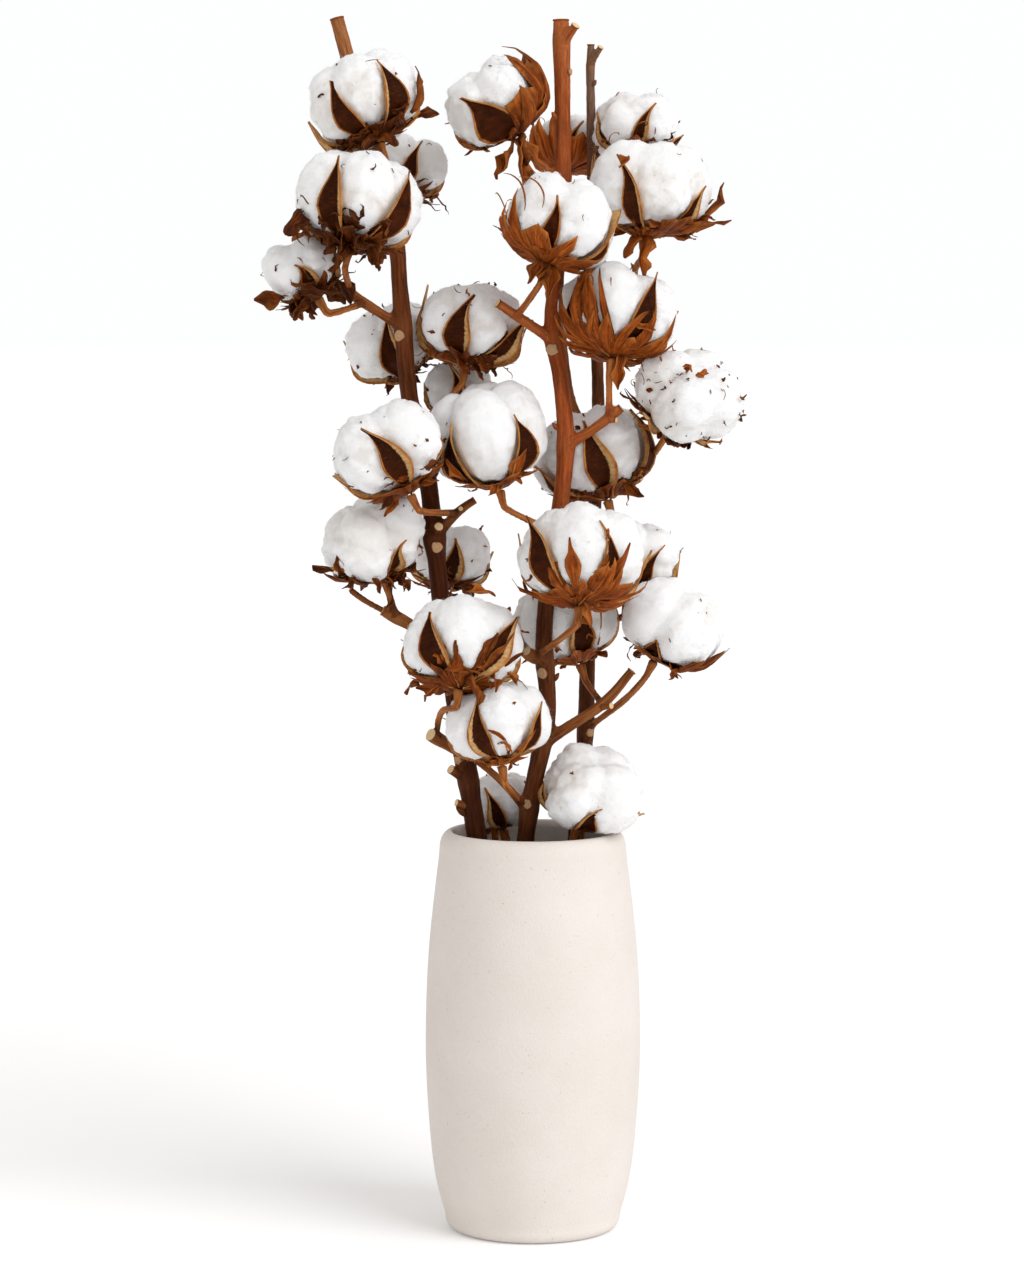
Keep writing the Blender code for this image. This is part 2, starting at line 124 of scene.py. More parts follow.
# Each stalk: "stem" is the cut stalk from the vase's floor to its top, as x, y, z, radius;
# "branches" leave a tube at a height: (tube, height, points, first radius, last radius);
# "bolls" says what each boll's own stem grows from, and at what height.
# On the bark: "scars" (tube, height, view angle, size); "buds" (tube, height, view angle, length);
# "knobs" (tube, height, view angle, rise of the stub, length, radius). A view angle is 0 at the
# front and turns rightwards.
STALKS = {
    "stalk_left": {
        "bark": "bark_dark",
        "stem": [(3, -15, VASE_FLOOR, 6.6), (-17, -11, 128, 6.5), (-34.5, -7, 245, 6.3),
            (-41, -6, 288, 6.2), (-48, -5, 331, 6.0), (-57, -3, 394, 5.8), (-65, 0, 468, 5.6),
            (-76, 3, 517, 5.5), (-82, 6, 585, 5.2), (-85, 10, 615, 5.0), (-99, 15, 670, 4.7),
            (-121, 20, 752, 4.4)],
        "branches": {
            "fork_top": ("stem", 562, [(-104, 2, 577), (-125, 0, 592)], 3.2, 2.7),
            "fork_middle": ("stem", 432, [(-47, -7, 448), (-36, -6, 456)], 3.0, 2.4),
            "node_stub": ("stem", 433, [(-58, -12, 440)], 3.2, 2.8),
            "fork_low": ("stem", 364, [(-74, -8, 378), (-93, -10, 388)], 3.6, 3.2),
            "twig_low": ("fork_low", 383, [(-102, -9, 393), (-113, -11, 401)], 1.6, 1.2),
            "fork_front": ("stem", 299, [(-53, -18, 306), (-63, -28, 313)], 3.9, 3.9),
            "stub_front": ("stem", 282, [(-51, -15, 290)], 3.4, 2.9),
        },
        "bolls": {1: ("stem", 646), 2: ("fork_top", 583), 3: ("fork_top", 577), 4: ("stem", 503),
            5: ("stem", 500), 6: ("stem", 474), 7: ("fork_middle", 448), 9: ("fork_low", 384),
            10: ("stem", 372), 11: ("fork_front", 311), 22: ("stem", 612)},
        "scars": [("stem", 557, -25, 4.0), ("stem", 427, 10, 4.2), ("stem", 296, -40, 3.6),
            ("stem", 352, 10, 2.6), ("fork_low", 379, 0, 3.2)],
        "buds": [("stem", 611, -80, 5.0), ("stem", 262, -70, 7.0), ("stem", 470, 60, 5.0)],
        "knobs": [("fork_top", 582, 10, 50, 4.0, 1.6), ("fork_middle", 450, -10, 20, 3.0, 1.5),
            ("stem", 268, -60, 25, 5.0, 2.2)],
    },
    "stalk_middle": {
        "bark": "bark_red",
        "stem": [(-25, 10, VASE_FLOOR, 5.6), (-14, 4, 128, 5.6), (-4, -4, 250, 5.5), (6, -9, 306, 5.4),
            (9, -11, 331, 5.4), (7, -11, 381, 5.3), (17, -11, 455, 5.2), (20, -11, 492, 5.2),
            (17, -8, 530, 5.2), (12, -4, 560, 5.3), (14, 0, 591, 5.2), (18, 4, 658, 5.1),
            (18, 5, 700, 5.0), (17, 6, 750, 5.0)],
        "branches": {
            "twig_front": ("stem", 262, [(-20, -14, 283), (-37, -22, 298)], 2.6, 2.3),
            "node_stub": ("stem", 356, [(-4, -22, 364)], 3.4, 3.0),
            "fork_low": ("stem", 305, [(25, -11, 318), (44, -12, 331), (61, -13, 351)], 3.7, 2.9),
            "fork_middle": ("stem", 490, [(37, -14, 500), (54, -16, 513)], 3.2, 2.8),
            "fork_high": ("stem", 554, [(-4, -12, 565), (-22, -20, 577)], 3.3, 2.8),
            "top_stub": ("stem", 734, [(26, -2, 746)], 3.0, 2.7),
        },
        "bolls": {8: ("stem", 436), 12: ("twig_front", 268), 13: ("stem", 224), 14: ("stem", 651),
            18: ("fork_high", 569), 19: ("fork_middle", 507), 23: ("node_stub", 360),
            25: ("fork_low", 330), 27: ("stem", 216)},
        "scars": [("stem", 548, -20, 4.6), ("stem", 350, -25, 3.8), ("stem", 268, -20, 3.4),
            ("stem", 648, 20, 2.6), ("stem", 718, 60, 2.4)],
        "buds": [("stem", 345, 75, 5.0), ("stem", 500, -75, 5.0), ("stem", 690, -60, 4.5)],
        "knobs": [("fork_low", 330, 40, 40, 5.5, 2.0), ("stem", 556, -40, 60, 3.0, 1.6),
            ("fork_middle", 508, 60, 40, 3.0, 1.8)],
    },
    "stalk_right": {
        "bark": "bark_grey",
        "stem": [(13, 22, VASE_FLOOR, 5.3), (21, 25, 128, 5.3), (28, 31, 250, 5.3), (33, 42, 300, 5.2),
            (35, 54, 357, 5.0), (36, 58, 394, 4.8), (41, 60, 480, 4.3), (41, 54, 529, 4.0),
            (38, 46, 600, 3.5), (36, 40, 700, 2.9), (36, 38, 737, 2.3)],
        "branches": {
            "fork_back": ("stem", 488, [(27, 62, 510), (21, 58, 540), (17, 56, 588)], 2.6, 2.0),
            "top_stub": ("stem", 725, [(42, 32, 735)], 2.0, 1.9),
        },
        "bolls": {15: ("stem", 634), 16: ("stem", 640), 17: ("stem", 552), 20: ("stem", 466),
            21: ("stem", 430), 24: ("stem", 372), 26: ("stem", 308)},
        "scars": [("stem", 306, 30, 3.2), ("stem", 470, -20, 2.6), ("stem", 655, 15, 2.2)],
        "buds": [("stem", 712, 40, 4.0), ("stem", 560, -50, 4.0)],
        "knobs": [("stem", 311, 60, 45, 4.5, 2.0)],
    },
}

# Points that a boll's own stem goes round by, on its way from its stalk
DETOURS = {11: [(-56, -37, 328)], 17: [(60, 24, 574), (63, 12, 597)], 20: [(70, 40, 478)],
           24: [(56, 36, 380)], 26: [(57, 13, 330)]}

# ---- looks of each boll -------------------------------------------------------------------------
# swell: lint against the CAD ball; puffs, puff: number and height (mm) of its cloud-like lumps;
# fuzz: loose fibres; turn: added to the boll's turn; tone: 0 dark brown to 1 orange; trash: flecks
# carpel_top: how far up the carpels reach, from the husk's base; carpel_width: half of one, as a
# part of the radius; carpel: changes to single carpels
# bracts: (view angle, spread, teeth, reach, lift, curl, cut); scraps: the arguments of add_scrap
# crumples, crumple: number and size of the dried bits at the boll's foot
LOOK = {"swell": 1.13, "puffs": 24, "puff": 1.6, "fuzz": 1.0, "turn": 0, "carpel_top": 116,
        "carpel_width": 0.25, "carpel": {}, "bracts": [(30, 110, 5, 62), (150, 110, 5, 60),
        (270, 110, 5, 62)], "tone": 0.45, "crumples": 9, "crumple": 1.0, "trash": 14, "scraps": []}
LOOKS = {
    1: {"tone": 0.08, "puffs": 14, "puff": 2.6, "bracts": [(-60, 70, 3, 50, 3.4, 0.2, 0.7),
        (50, 110, 4, 60, 3.4, 0.3, 0.6), (180, 120, 5, 60)], "crumples": 22, "crumple": 1.45,
        "carpel_top": 110, "carpel": {0: {"wide": 0.85, "long": 0.92, "flare": 0.14, "lip": 0},
        1: {"wide": 1.2, "long": 1.0, "bend": -0.15}},
        "scraps": [(-45, 25, 34, 4.5, -38, 0.5, 0.9, 0.2, 0.1, 2.0),
        (70, 50, 30, 10, 10, 0.15, -0.6, 0.6, 0.3, 3.0, 0.8, 1.2),
        (20, 20, 20, 13, 20, 0.6, 1.2, 0.3, 0.1, 2.0, 0.8, 1.5),
        (0, 16, 20, 12, -60, 0.5, 1.0, 0.6, 0.05, 2.0, -0.8, 1.5)]},
    2: {"tone": 0.06, "crumples": 34, "crumple": 1.65, "carpel_top": 116, "puff": 2.0, "puffs": 16,
        "carpel_width": 0.22, "carpel": {0: {"lip": 1, "bend": 0.1, "wide": 1.1}, 1: {"lip": -1,
        "bend": 0.2}}, "bracts": [(-20, 120, 4, 52, 4.2, 0.5, 0.7), (90, 110, 4, 56, 4.0, 0.4, 0.7),
        (220, 110, 5, 60)],
        "scraps": [(-60, 50, 22, 1.3, -20, 0.6, 2.5, 1.0, 0.0, 2.0, 0, 0.4, 2.0),
        (-72, 60, 18, 1.2, 30, 0.5, -3.0, 1.0, 0.0, 2.0, 0, 0.4, -2.0),
        (-50, 70, 15, 1.2, 120, 0.6, 3.0, 1.0, 0.05, 2.0, 0, 0.4, 3.0),
        (0, 20, 22, 14, -10, 0.8, 0.8, 0.6, 0.05, 2.4, 1.0, 1.8),
        (-40, 20, 20, 12, 20, 0.9, -0.6, 0.9, 0.1, 2.4, 0.9, 1.8),
        (40, 22, 22, 13, 30, 0.8, 0.9, -0.6, 0.12, 2.4, -0.9, 1.8),
        (5, 12, 24, 12, 0, 0.4, 0.8, 1.0, 0.12, 2.0, 1.0, 1.6, 0, 0.8)]},
    3: {"tone": 0.08, "crumples": 28, "crumple": 1.55, "carpel_top": 92, "puffs": 12, "puff": 2.2,
        "bracts": [(-10, 150, 5, 66, 3.8, 0.4, 0.7), (140, 110, 5, 60), (250, 90, 4, 60)],
        "scraps": [(10, 30, 22, 12, 60, 0.6, 0.8, 0.5, 0.1, 2.4, 0.8, 1.6),
        (-30, 30, 20, 10, -60, 0.6, 0.8, 0.5, 0.12, 2.4, 0.8, 1.6)]},
    4: {"tone": 0.2, "bracts": [(0, 90, 4, 40)], "trash": 40, "crumples": 12, "puffs": 14,
        "puff": 2.2},
    5: {"tone": 0.28, "crumples": 18, "trash": 42, "crumple": 1.25, "carpel_width": 0.27,
        "puffs": 14, "puff": 2.2, "carpel": {0: {"lip": 1, "wide": 1.05}},
        "bracts": [(10, 110, 4, 56, 3.2, 0.3, 0.6), (130, 110, 5, 60), (250, 110, 5, 62)]},
    6: {"tone": 0.2, "crumples": 14},
    7: {"tone": 0.36, "turn": 18, "crumples": 18, "trash": 46, "crumple": 1.25,
        "carpel_width": 0.22, "puffs": 14, "puff": 2.4, "carpel": {0: {"lean": -0.2, "bend": -0.12,
        "lip": 1}, 3: {"lip": 0, "long": 0.8}}, "bracts": [(-30, 140, 5, 54, 3.4, 0.4, 0.6),
        (130, 110, 5, 60), (240, 100, 5, 62)]},
    8: {"tone": 0.66, "crumples": 5, "trash": 6, "puff": 1.4, "carpel_width": 0.27,
        "carpel": {0: {"wide": 1.2, "long": 0.95, "bend": 0.1, "lip": -1}, 3: {"flare": 0.06,
        "tilt": 0.9, "lip": 1, "wide": 1.3, "roll": 1.6}},
        "bracts": [(12, 100, 3, 60, 3.0, 0.0, 0.75), (130, 110, 5, 60), (270, 100, 4, 50)],
        "scraps": [(22, 34, 30, 16, 16, 0.15, -0.5, 0.5, 0.85, 4.2, -0.5, 1.0),
        (-50, 48, 22, 8, 10, 0.2, -0.3, 0.6, 0.9, 3.4, 0.8, 0.8)]},
    9: {"tone": 0.2, "crumples": 24, "crumple": 1.3, "puff": 4.0, "puffs": 10, "carpel_top": 88,
        "carpel_width": 0.2, "bracts": [(-70, 100, 4, 74, 3.6, 0.4, 0.7),
        (60, 120, 4, 44, 3.0, 0.5)],
        "scraps": [(-72, 70, 15, 8, -10, 0.4, 0.8, 0.9, 0.04, 2.4, 0.9, 1.6),
        (-55, 60, 18, 7, 30, 0.4, -0.8, 0.9, 0.15, 2.4, 0.9, 1.4),
        (30, 120, 18, 5, 60, 0.2, 0.6, 0.6, 0.8, 1.4, 0.9, 0.8)]},
    10: {"tone": 0.2, "crumples": 12},
    11: {"tone": 0.42, "crumples": 20, "trash": 12, "crumple": 1.25, "carpel_width": 0.24,
        "puffs": 12, "puff": 2.8, "carpel": {0: {"wide": 1.15, "lip": 1, "bend": -0.12},
        1: {"wide": 0.85, "bend": 0.25}}, "bracts": [(-30, 110, 4, 50, 3.2, 0.4, 0.6),
        (110, 120, 5, 56, 3.2, 0.3, 0.6), (230, 120, 5, 62, 3.0)],
        "scraps": [(-5, 32, 24, 10, 2, 0.2, -0.4, 0.3, 0.36, 4.6, -0.4, 1.0),
        (20, 30, 34, 9, 12, 0.2, -0.6, -0.5, 0.26, 4.2, -0.7, 1.0),
        (34, 30, 38, 7, 20, 0.2, -0.7, 0.5, 0.36, 4.6, -0.7, 1.0),
        (50, 30, 32, 8, 26, 0.25, -0.5, 0.5, 0.26, 3.8, -1.0, 1.2),
        (20, 16, 20, 13, 60, 0.8, 0.8, 0.5, 0.4, 2.6, -1.0, 1.6),
        (5, 140, 19, 9, 70, 0.2, -0.5, 0.4, 0.98, 1.6, 0.8, 1.0),
        (75, 40, 18, 7, 110, 0.5, 1.2, 0.8, 0.8, 2.0)]},
    12: {"tone": 0.5, "puff": 2.6, "puffs": 11, "trash": 6, "carpel_width": 0.22,
        "carpel": {0: {"wide": 1.1, "lip": -1}, 1: {"bend": 0.2, "lip": -1, "roll": 3.0}},
        "bracts": [(20, 120, 4, 44, 3.0, 0.1, 0.55)],
        "scraps": [(0, 62, 20, 4.0, 60, 0.3, 1.8, 1.2, 0.85, 1.6),
        (14, 44, 26, 3.6, 8, 0.15, -0.5, 0.6, 0.6, 3.0, 0.8, 0.6, 1.2),
        (30, 46, 18, 4.0, 14, 0.15, -0.3, 0.6, 0.55, 3.0, 0.8, 0.6, -0.8)]},
    13: {"puff": 2.8, "puffs": 12, "bracts": [], "tone": 0.3},
    14: {"tone": 0.5, "carpel_width": 0.4, "crumples": 12, "turn": 16, "crumple": 1.2,
        "carpel": {0: {"lip": 0, "wide": 1.1, "bend": -0.1, "long": 1.0}},
        "bracts": [(68, 124, 3, 158, 3.6, -0.15, 0.92), (190, 110, 5, 90),
        (98, 80, 3, 128, 5.4, 0.0, 0.85), (40, 50, 2, 96, 4.6, 0.2, 0.8)],
        "scraps": [(10, 14, 36, 15, 165, 0.2, 0.5, 1.0, 0.62, 2.0, 1.0, 2.4, 0.3, 0.9),
        (-15, 12, 30, 12, -170, 0.2, -0.6, -1.0, 0.5, 2.0, -0.9, 2.2, -0.3, 0.85),
        (30, 12, 26, 11, 150, 0.4, 1.2, 0.6, 0.7, 2.0, 0.9, 2.0, 0.4, 0.8),
        (0, 12, 20, 14, 0, 0.4, 1.0, 0.6, 0.3, 2.0, 0.9, 2.0, 0.4, 0.6)]},
    15: {"tone": 0.8, "crumples": 3, "trash": 2, "bracts": [(-25, 150, 7, 142, 3.0, 0.0, 0.85),
        (110, 110, 5, 110, 3.0, 0, 0.8), (220, 110, 6, 106)]},
    16: {"tone": 0.3, "crumples": 24, "puff": 3.4, "puffs": 12, "carpel_width": 0.17,
        "carpel_top": 100, "crumple": 1.1, "bracts": [(0, 140, 5, 48, 3.2, 0.4, 0.6),
        (140, 110, 5, 60)], "scraps": [(-12, 46, 18, 4, 30, 0.5, 1.8, 0.8, 0.5, 2.0, 0.9, 1.2),
        (4, 50, 16, 4, -25, 0.6, 1.6, -0.8, 0.4, 2.0, 0.9, 1.2),
        (16, 46, 20, 3, 10, 0.5, 1.4, 0.8, 0.3, 2.0, 0.9, 1.2),
        (-30, 56, 18, 1.1, 20, 0.6, 3.2, 0.8, 0.2, 2.0, 0, 0.4, 1.5),
        (26, 60, 20, 1.1, -30, 0.6, -3.4, 0.8, 0.3, 2.0, 0, 0.4, -1.5),
        (8, 70, 16, 1.0, 60, 0.6, 3.2, 0.8, 0.4, 2.0, 0, 0.4, 1.5)]},
    17: {"tone": 0.36, "crumples": 18, "carpel_width": 0.19, "puff": 2.4, "puffs": 14,
        "crumple": 1.25, "carpel_top": 108, "carpel": {0: {"lip": 1, "long": 1.05}},
        "bracts": [(72, 110, 5, 80, 4.2, 0.35, 0.75), (-10, 90, 4, 44, 3.0), (180, 120, 5, 60)],
        "scraps": [(-32, 105, 13, 8, 80, 0.35, 0.5, 0.3, 0.95, 1.4, 0.9, 1.0),
        (80, 62, 28, 9, 10, 0.2, -0.4, 0.8, 0.3, 2.4, 0.9, 1.6),
        (62, 50, 30, 10, 40, 0.3, 0.4, 0.8, 0.3, 2.8, 0.9, 1.8),
        (-6, 12, 26, 13, 0, 0.4, 0.8, 0.5, 0.85, 2.0, 0.9, 2.0, 0.4, 0.85),
        (-40, 16, 18, 10, 0, 0.4, 0.9, -0.8, 0.7, 2.0, 0.9, 1.8, 0.4, 0.7)]},
    18: {"tone": 0.66, "trash": 16, "crumples": 7, "carpel_width": 0.22, "puffs": 14, "puff": 2.2,
        "carpel": {1: {"flare": 0.06, "tilt": -1.4, "long": 1.0, "bend": -0.3, "lip": -1,
        "wide": 1.5, "roll": 1.0}}, "bracts": [(-25, 110, 4, 98, 3.2, -0.05, 0.5),
        (55, 90, 3, 66, 3.8, 0.1, 0.7), (150, 110, 5, 70, 4.0), (250, 110, 5, 90, 3.0)],
        "scraps": [(-38, 80, 34, 1.2, 4, 0.15, -0.6, 0.5, 0.5, 3.0, 0, 0.2, 1.6),
        (-22, 86, 30, 1.1, 10, 0.15, -0.5, 0.5, 0.6, 3.0, 0, 0.2, 2.0),
        (-60, 70, 32, 1.2, 0, 0.15, -0.3, -0.5, 0.5, 3.0, 0, 0.2, 1.8),
        (-30, 16, 18, 10, -160, 0.9, 1.0, 0.6, 0.4, 2.0, 0.8, 0.8, 0, 0.3),
        (35, 14, 22, 13, 130, 0.8, 0.8, 0.4, 0.6, 2.0, 0.8, 0.8, 0, 0.4),
        (0, 12, 14, 9, 178, 0.9, 1.4, 0.2, 0.3, 2.0, 0.7, 0.8)]},
    19: {"tone": 0.68, "trash": 6, "crumples": 3, "carpel_width": 0.23, "puffs": 14, "puff": 2.4,
        "carpel": {0: {"long": 1.06, "wide": 1.0, "flare": 0.05, "lip": 0}},
        "bracts": [(-44, 84, 5, 146, 2.8, -0.1, 0.38), (6, 66, 3, 74, 3.0, 0.0, 0.75),
        (72, 80, 4, 98, 3.0, 0.03, 0.45), (185, 120, 5, 84, 3.2), (290, 80, 4, 90, 3.2)],
        "scraps": [(-28, 95, 22, 1.0, 15, 0.3, 2.8, 0.5, 0.55, 2.0, 0, 0.2),
        (-10, 96, 20, 1.0, -8, 0.3, -2.6, 0.5, 0.6, 2.0, 0, 0.2),
        (48, 14, 22, 10, 140, 0.7, 0.5, 0.9, 0.7, 2.4, 0.8, 0.8, 0, 0.75)]},
    20: {"tone": 0.22, "trash": 90, "puff": 2.0, "puffs": 14, "crumples": 14, "carpel_top": 84,
        "scraps": [(-35, 150, 13, 7, 10, 0.7, 1.8, 1.2, 1.0, 1.4, 1.2, 1.6),
        (-10, 152, 11, 5, 70, 0.6, -1.6, 1.4, 0.9, 1.4, -1.2, 1.6)]},
    21: {"tone": 0.38, "trash": 16, "crumples": 18, "crumple": 1.25, "carpel_width": 0.28,
        "puffs": 13, "puff": 2.4, "carpel": {0: {"lip": 1, "roll": 3.4, "bend": -0.1}},
        "bracts": [(35, 110, 4, 56, 3.4, 0.4, 0.65), (150, 110, 5, 60), (270, 110, 5, 62)]},
    22: {"tone": 0.2, "crumples": 12, "puffs": 12, "puff": 2.2},
    23: {"tone": 0.68, "trash": 5, "puff": 2.2, "puffs": 13, "crumples": 5, "carpel_width": 0.23,
        "carpel": {0: {"long": 1.02, "wide": 1.15, "lip": 1}},
        "bracts": [(4, 60, 3, 84, 3.2, 0.0, 0.55), (42, 56, 4, 108, 3.6, 0.05, 0.5),
        (125, 110, 5, 78, 3.6), (235, 120, 6, 74, 3.4), (-58, 84, 2, 60, 2.6, 0.0, 0.8)],
        "scraps": [(20, 92, 24, 1.1, 5, 0.3, 3.2, 0.6, 0.75, 2.4, 0, 0.2, 1.2),
        (-6, 40, 36, 10, -4, 0.3, -0.9, 0.3, 0.7, 5.4, -0.3, 0.7),
        (14, 42, 26, 9, 10, 0.3, -0.8, -0.4, 0.66, 5.6, -0.3, 0.7),
        (32, 40, 36, 9, 10, 0.25, -0.9, -0.3, 0.62, 5.6, -0.3, 0.7),
        (-22, 34, 22, 9, -20, 0.2, -0.4, 0.5, 0.6, 5.0, -0.4, 0.9),
        (30, 14, 18, 12, 60, 0.8, 0.9, 0.4, 0.75, 2.4, 0.9, 1.0, 0, 0.3)]},
    24: {"tone": 0.35, "puff": 3.4, "puffs": 12},
    25: {"tone": 0.62, "crumples": 8, "puffs": 13, "puff": 2.4, "carpel": {3: {"flare": 0.12,
        "tilt": 1.0, "lip": 1, "roll": 3.0}}, "bracts": [(20, 120, 4, 60, 3.0, 0.1, 0.6),
        (120, 120, 5, 60), (240, 120, 5, 62)],
        "scraps": [(35, 50, 34, 2.4, 6, 0.15, -0.8, 0.4, 0.8, 3.0, 0.6, 0.4),
        (20, 60, 18, 1.4, -10, 0.3, 1.6, 0.4, 0.75, 2.2, 0, 0.3)]},
    26: {"tone": 0.3, "puff": 4.4, "puffs": 10, "crumples": 22, "trash": 8, "carpel_top": 72,
        "crumple": 1.15, "bracts": [(5, 100, 4, 60, 3.2, 0.3, 0.78),
        (82, 100, 4, 88, 3.6, 0.2, 0.8), (150, 100, 5, 60, 3.2, 0.3, 0.75),
        (250, 120, 5, 52, 3.2, 0.3, 0.75)]},
    27: {"puff": 4.4, "puffs": 9, "bracts": [], "crumples": 4, "trash": 7, "carpel_top": 92,
        "tone": 0.4},
}


# ---- noise and mesh tools -----------------------------------------------------------------------
def lattice_noise(points, size, seed=0):
    """Smooth random values from -1 to 1 at (n, 3) points, with features of the given size."""
    places = points / size + seed * 7.31 + 50.0
    cells = np.floor(places).astype(np.int64)
    part = places - cells
    part = part * part * (3 - 2 * part)
    total = np.zeros(len(points))
    for corner in range(8):
        step = np.array([corner & 1, corner >> 1 & 1, corner >> 2 & 1])
        key = (cells + step) * np.array([73856093, 19349663, 83492791])
        key = key[:, 0] ^ key[:, 1] ^ key[:, 2]
        key = (key ^ key >> 13) * 1274126177 & 0x7fffffff
        value = ((key ^ key >> 15) & 0xffff) / 32767.5 - 1
        weight = np.where(step, part, 1 - part).prod(axis=1)
        total += weight * value
    return total


def noise_vectors(points, size, seed=0):
    return np.stack([lattice_noise(points, size, seed + 11 * k) for k in range(3)], 1)


def unit(vectors):
    return vectors / np.maximum(np.linalg.norm(vectors, axis=-1, keepdims=True), 1e-9)


def smooth_step(low, high, value):
    share = np.clip((value - low) / (high - low), 0, 1)
    return share * share * (3 - 2 * share)


def columns(*values):
    """Values for each point side by side; a single number is the same for all."""
    return np.stack(np.broadcast_arrays(*values), 1)


class MeshParts:
    """Gathers vertices, faces and per-vertex data, in millimetres, then makes one object."""

    def __init__(self):
        self.points, self.grain, self.tone = [], [], []
        self.faces, self.slots, self.flat = [], [], []
        self.count = 0

    def add(self, points, faces, grain, tone, slot=0, flat=False):
        """grain is a place on the piece's own surface, in mm; tone is four values, which each
        material reads in its own way; slot is the material; flat faces aren't smoothed."""
        for group in faces:
            self.faces += (group + self.count).tolist()
            self.slots += [slot] * len(group)
            self.flat += [flat] * len(group)
        self.points.append(points)
        self.grain.append(np.broadcast_to(grain, (len(points), 3)))
        self.tone.append(np.broadcast_to(tone, (len(points), 4)))
        self.count += len(points)

    def make(self, name, materials, slot_name, *nodes):
        """One object that stands for the named CAD nodes."""
        mesh = bpy.data.meshes.new(name)
        mesh.from_pydata((np.vstack(self.points) * MM).tolist(), [], self.faces)
        grain = mesh.attributes.new("grain", 'FLOAT_VECTOR', 'POINT')
        grain.data.foreach_set("vector", np.vstack(self.grain).astype(np.float32).ravel())
        tone = mesh.attributes.new("tone", 'FLOAT_COLOR', 'POINT')
        tone.data.foreach_set("color", np.vstack(self.tone).astype(np.float32).ravel())
        mesh.polygons.foreach_set("material_index", self.slots)
        mesh.polygons.foreach_set("use_smooth", [not flat for flat in self.flat])
        for material in materials:
            mesh.materials.append(material)
        mesh.update()
        piece = bpy.data.objects.new(name, mesh)
        bpy.context.scene.collection.objects.link(piece)
        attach(piece, "root")
        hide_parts(*nodes)


def sheet_solid(grid, thickness, v_line=None):
    """A closed thin solid round a (rows, columns, 3) grid: its points, faces, u, v and side."""
    rows, columns = grid.shape[:2]
    along = np.gradient(grid, axis=0)
    across = np.gradient(grid, axis=1)
    normal = unit(np.cross(across, along))
    front = grid + normal * thickness / 2
    back = grid - normal * thickness / 2
    points = np.concatenate([front.reshape(-1, 3), back.reshape(-1, 3)])
    index = np.arange(rows * columns).reshape(rows, columns)
    a, b = index[:-1, :-1].ravel(), index[:-1, 1:].ravel()
    c, d = index[1:, 1:].ravel(), index[1:, :-1].ravel()
    far = rows * columns
    rim = np.concatenate([index[0, :], index[1:, -1], index[-1, -2::-1], index[-2:0:-1, 0]])
    after = np.roll(rim, -1)
    faces = [np.stack([a, b, c, d], 1), np.stack([d, c, b, a], 1) + far,
             np.stack([after, rim, rim + far, after + far], 1)]
    v_line = np.linspace(-1, 1, columns) if v_line is None else v_line
    u, v = np.meshgrid(np.linspace(0, 1, rows), v_line, indexing='ij')
    side = np.repeat([1.0, 0.0], far)
    return points, faces, np.tile(u.ravel(), 2), np.tile(v.ravel(), 2), side


def turned(vector, axis, angle):
    """A vector turned about a unit axis."""
    return (vector * cos(angle) + np.cross(axis, vector) * sin(angle)
            + axis * np.dot(axis, vector) * (1 - cos(angle)))


def leaf_strip(start, direction, normal, length, width, curl=0.0, twist=0.0, fold=0.0,
               sway=0.0, rows=9, columns=4, profile=None, wrinkle=0.0, seed=0):
    """A leaf or strip that grows from start along direction, as a grid for sheet_solid."""
    direction = unit(np.asarray(direction, float))
    normal = unit(normal - direction * np.dot(normal, direction))
    side = np.cross(direction, normal)
    place = np.asarray(start, float)
    step = length / (rows - 1)
    v = np.linspace(-1, 1, columns)
    lines = []
    for row in range(rows):
        u = row / (rows - 1)
        half = width / 2 * (profile(u) if profile else max(0.04, sin(pi * (0.1 + 0.88 * u))))
        lines.append(place + np.outer(v * half, side) + np.outer(fold * half * v * v, normal))
        direction, normal = (turned(x, side, curl / (rows - 1)) for x in (direction, normal))
        direction, side = (turned(x, normal, sway / (rows - 1)) for x in (direction, side))
        side, normal = (turned(x, direction, twist / (rows - 1)) for x in (side, normal))
        place = place + direction * step
    grid = np.array(lines)
    if wrinkle:
        flat = grid.reshape(-1, 3)
        grid = grid + wrinkle * noise_vectors(flat, max(2.5, width / 2.5), seed).reshape(grid.shape)
    return grid


def cube_sphere(steps):
    """Unit directions and quads of a cube blown up to a sphere, with steps faces to an edge."""
    line = np.tan(np.linspace(-pi / 4, pi / 4, steps + 1))
    a, b = np.meshgrid(line, line, indexing='ij')
    one = np.ones_like(a)
    sides = [(a, b, one), (b, a, -one), (one, a, b), (-one, b, a), (b, one, a), (a, -one, b)]
    points = unit(np.concatenate([np.stack(s, -1).reshape(-1, 3) for s in sides]))
    index = np.arange((steps + 1) ** 2).reshape(steps + 1, steps + 1)
    quads = np.stack([index[:-1, :-1], index[1:, :-1], index[1:, 1:], index[:-1, 1:]], -1)
    quads = np.concatenate([quads.reshape(-1, 4) + k * index.size for k in range(6)])
    keys, first, back = np.unique(np.round(points, 5) + 0.0, axis=0, return_index=True,
                                  return_inverse=True)
    return points[first], back.ravel()[quads]


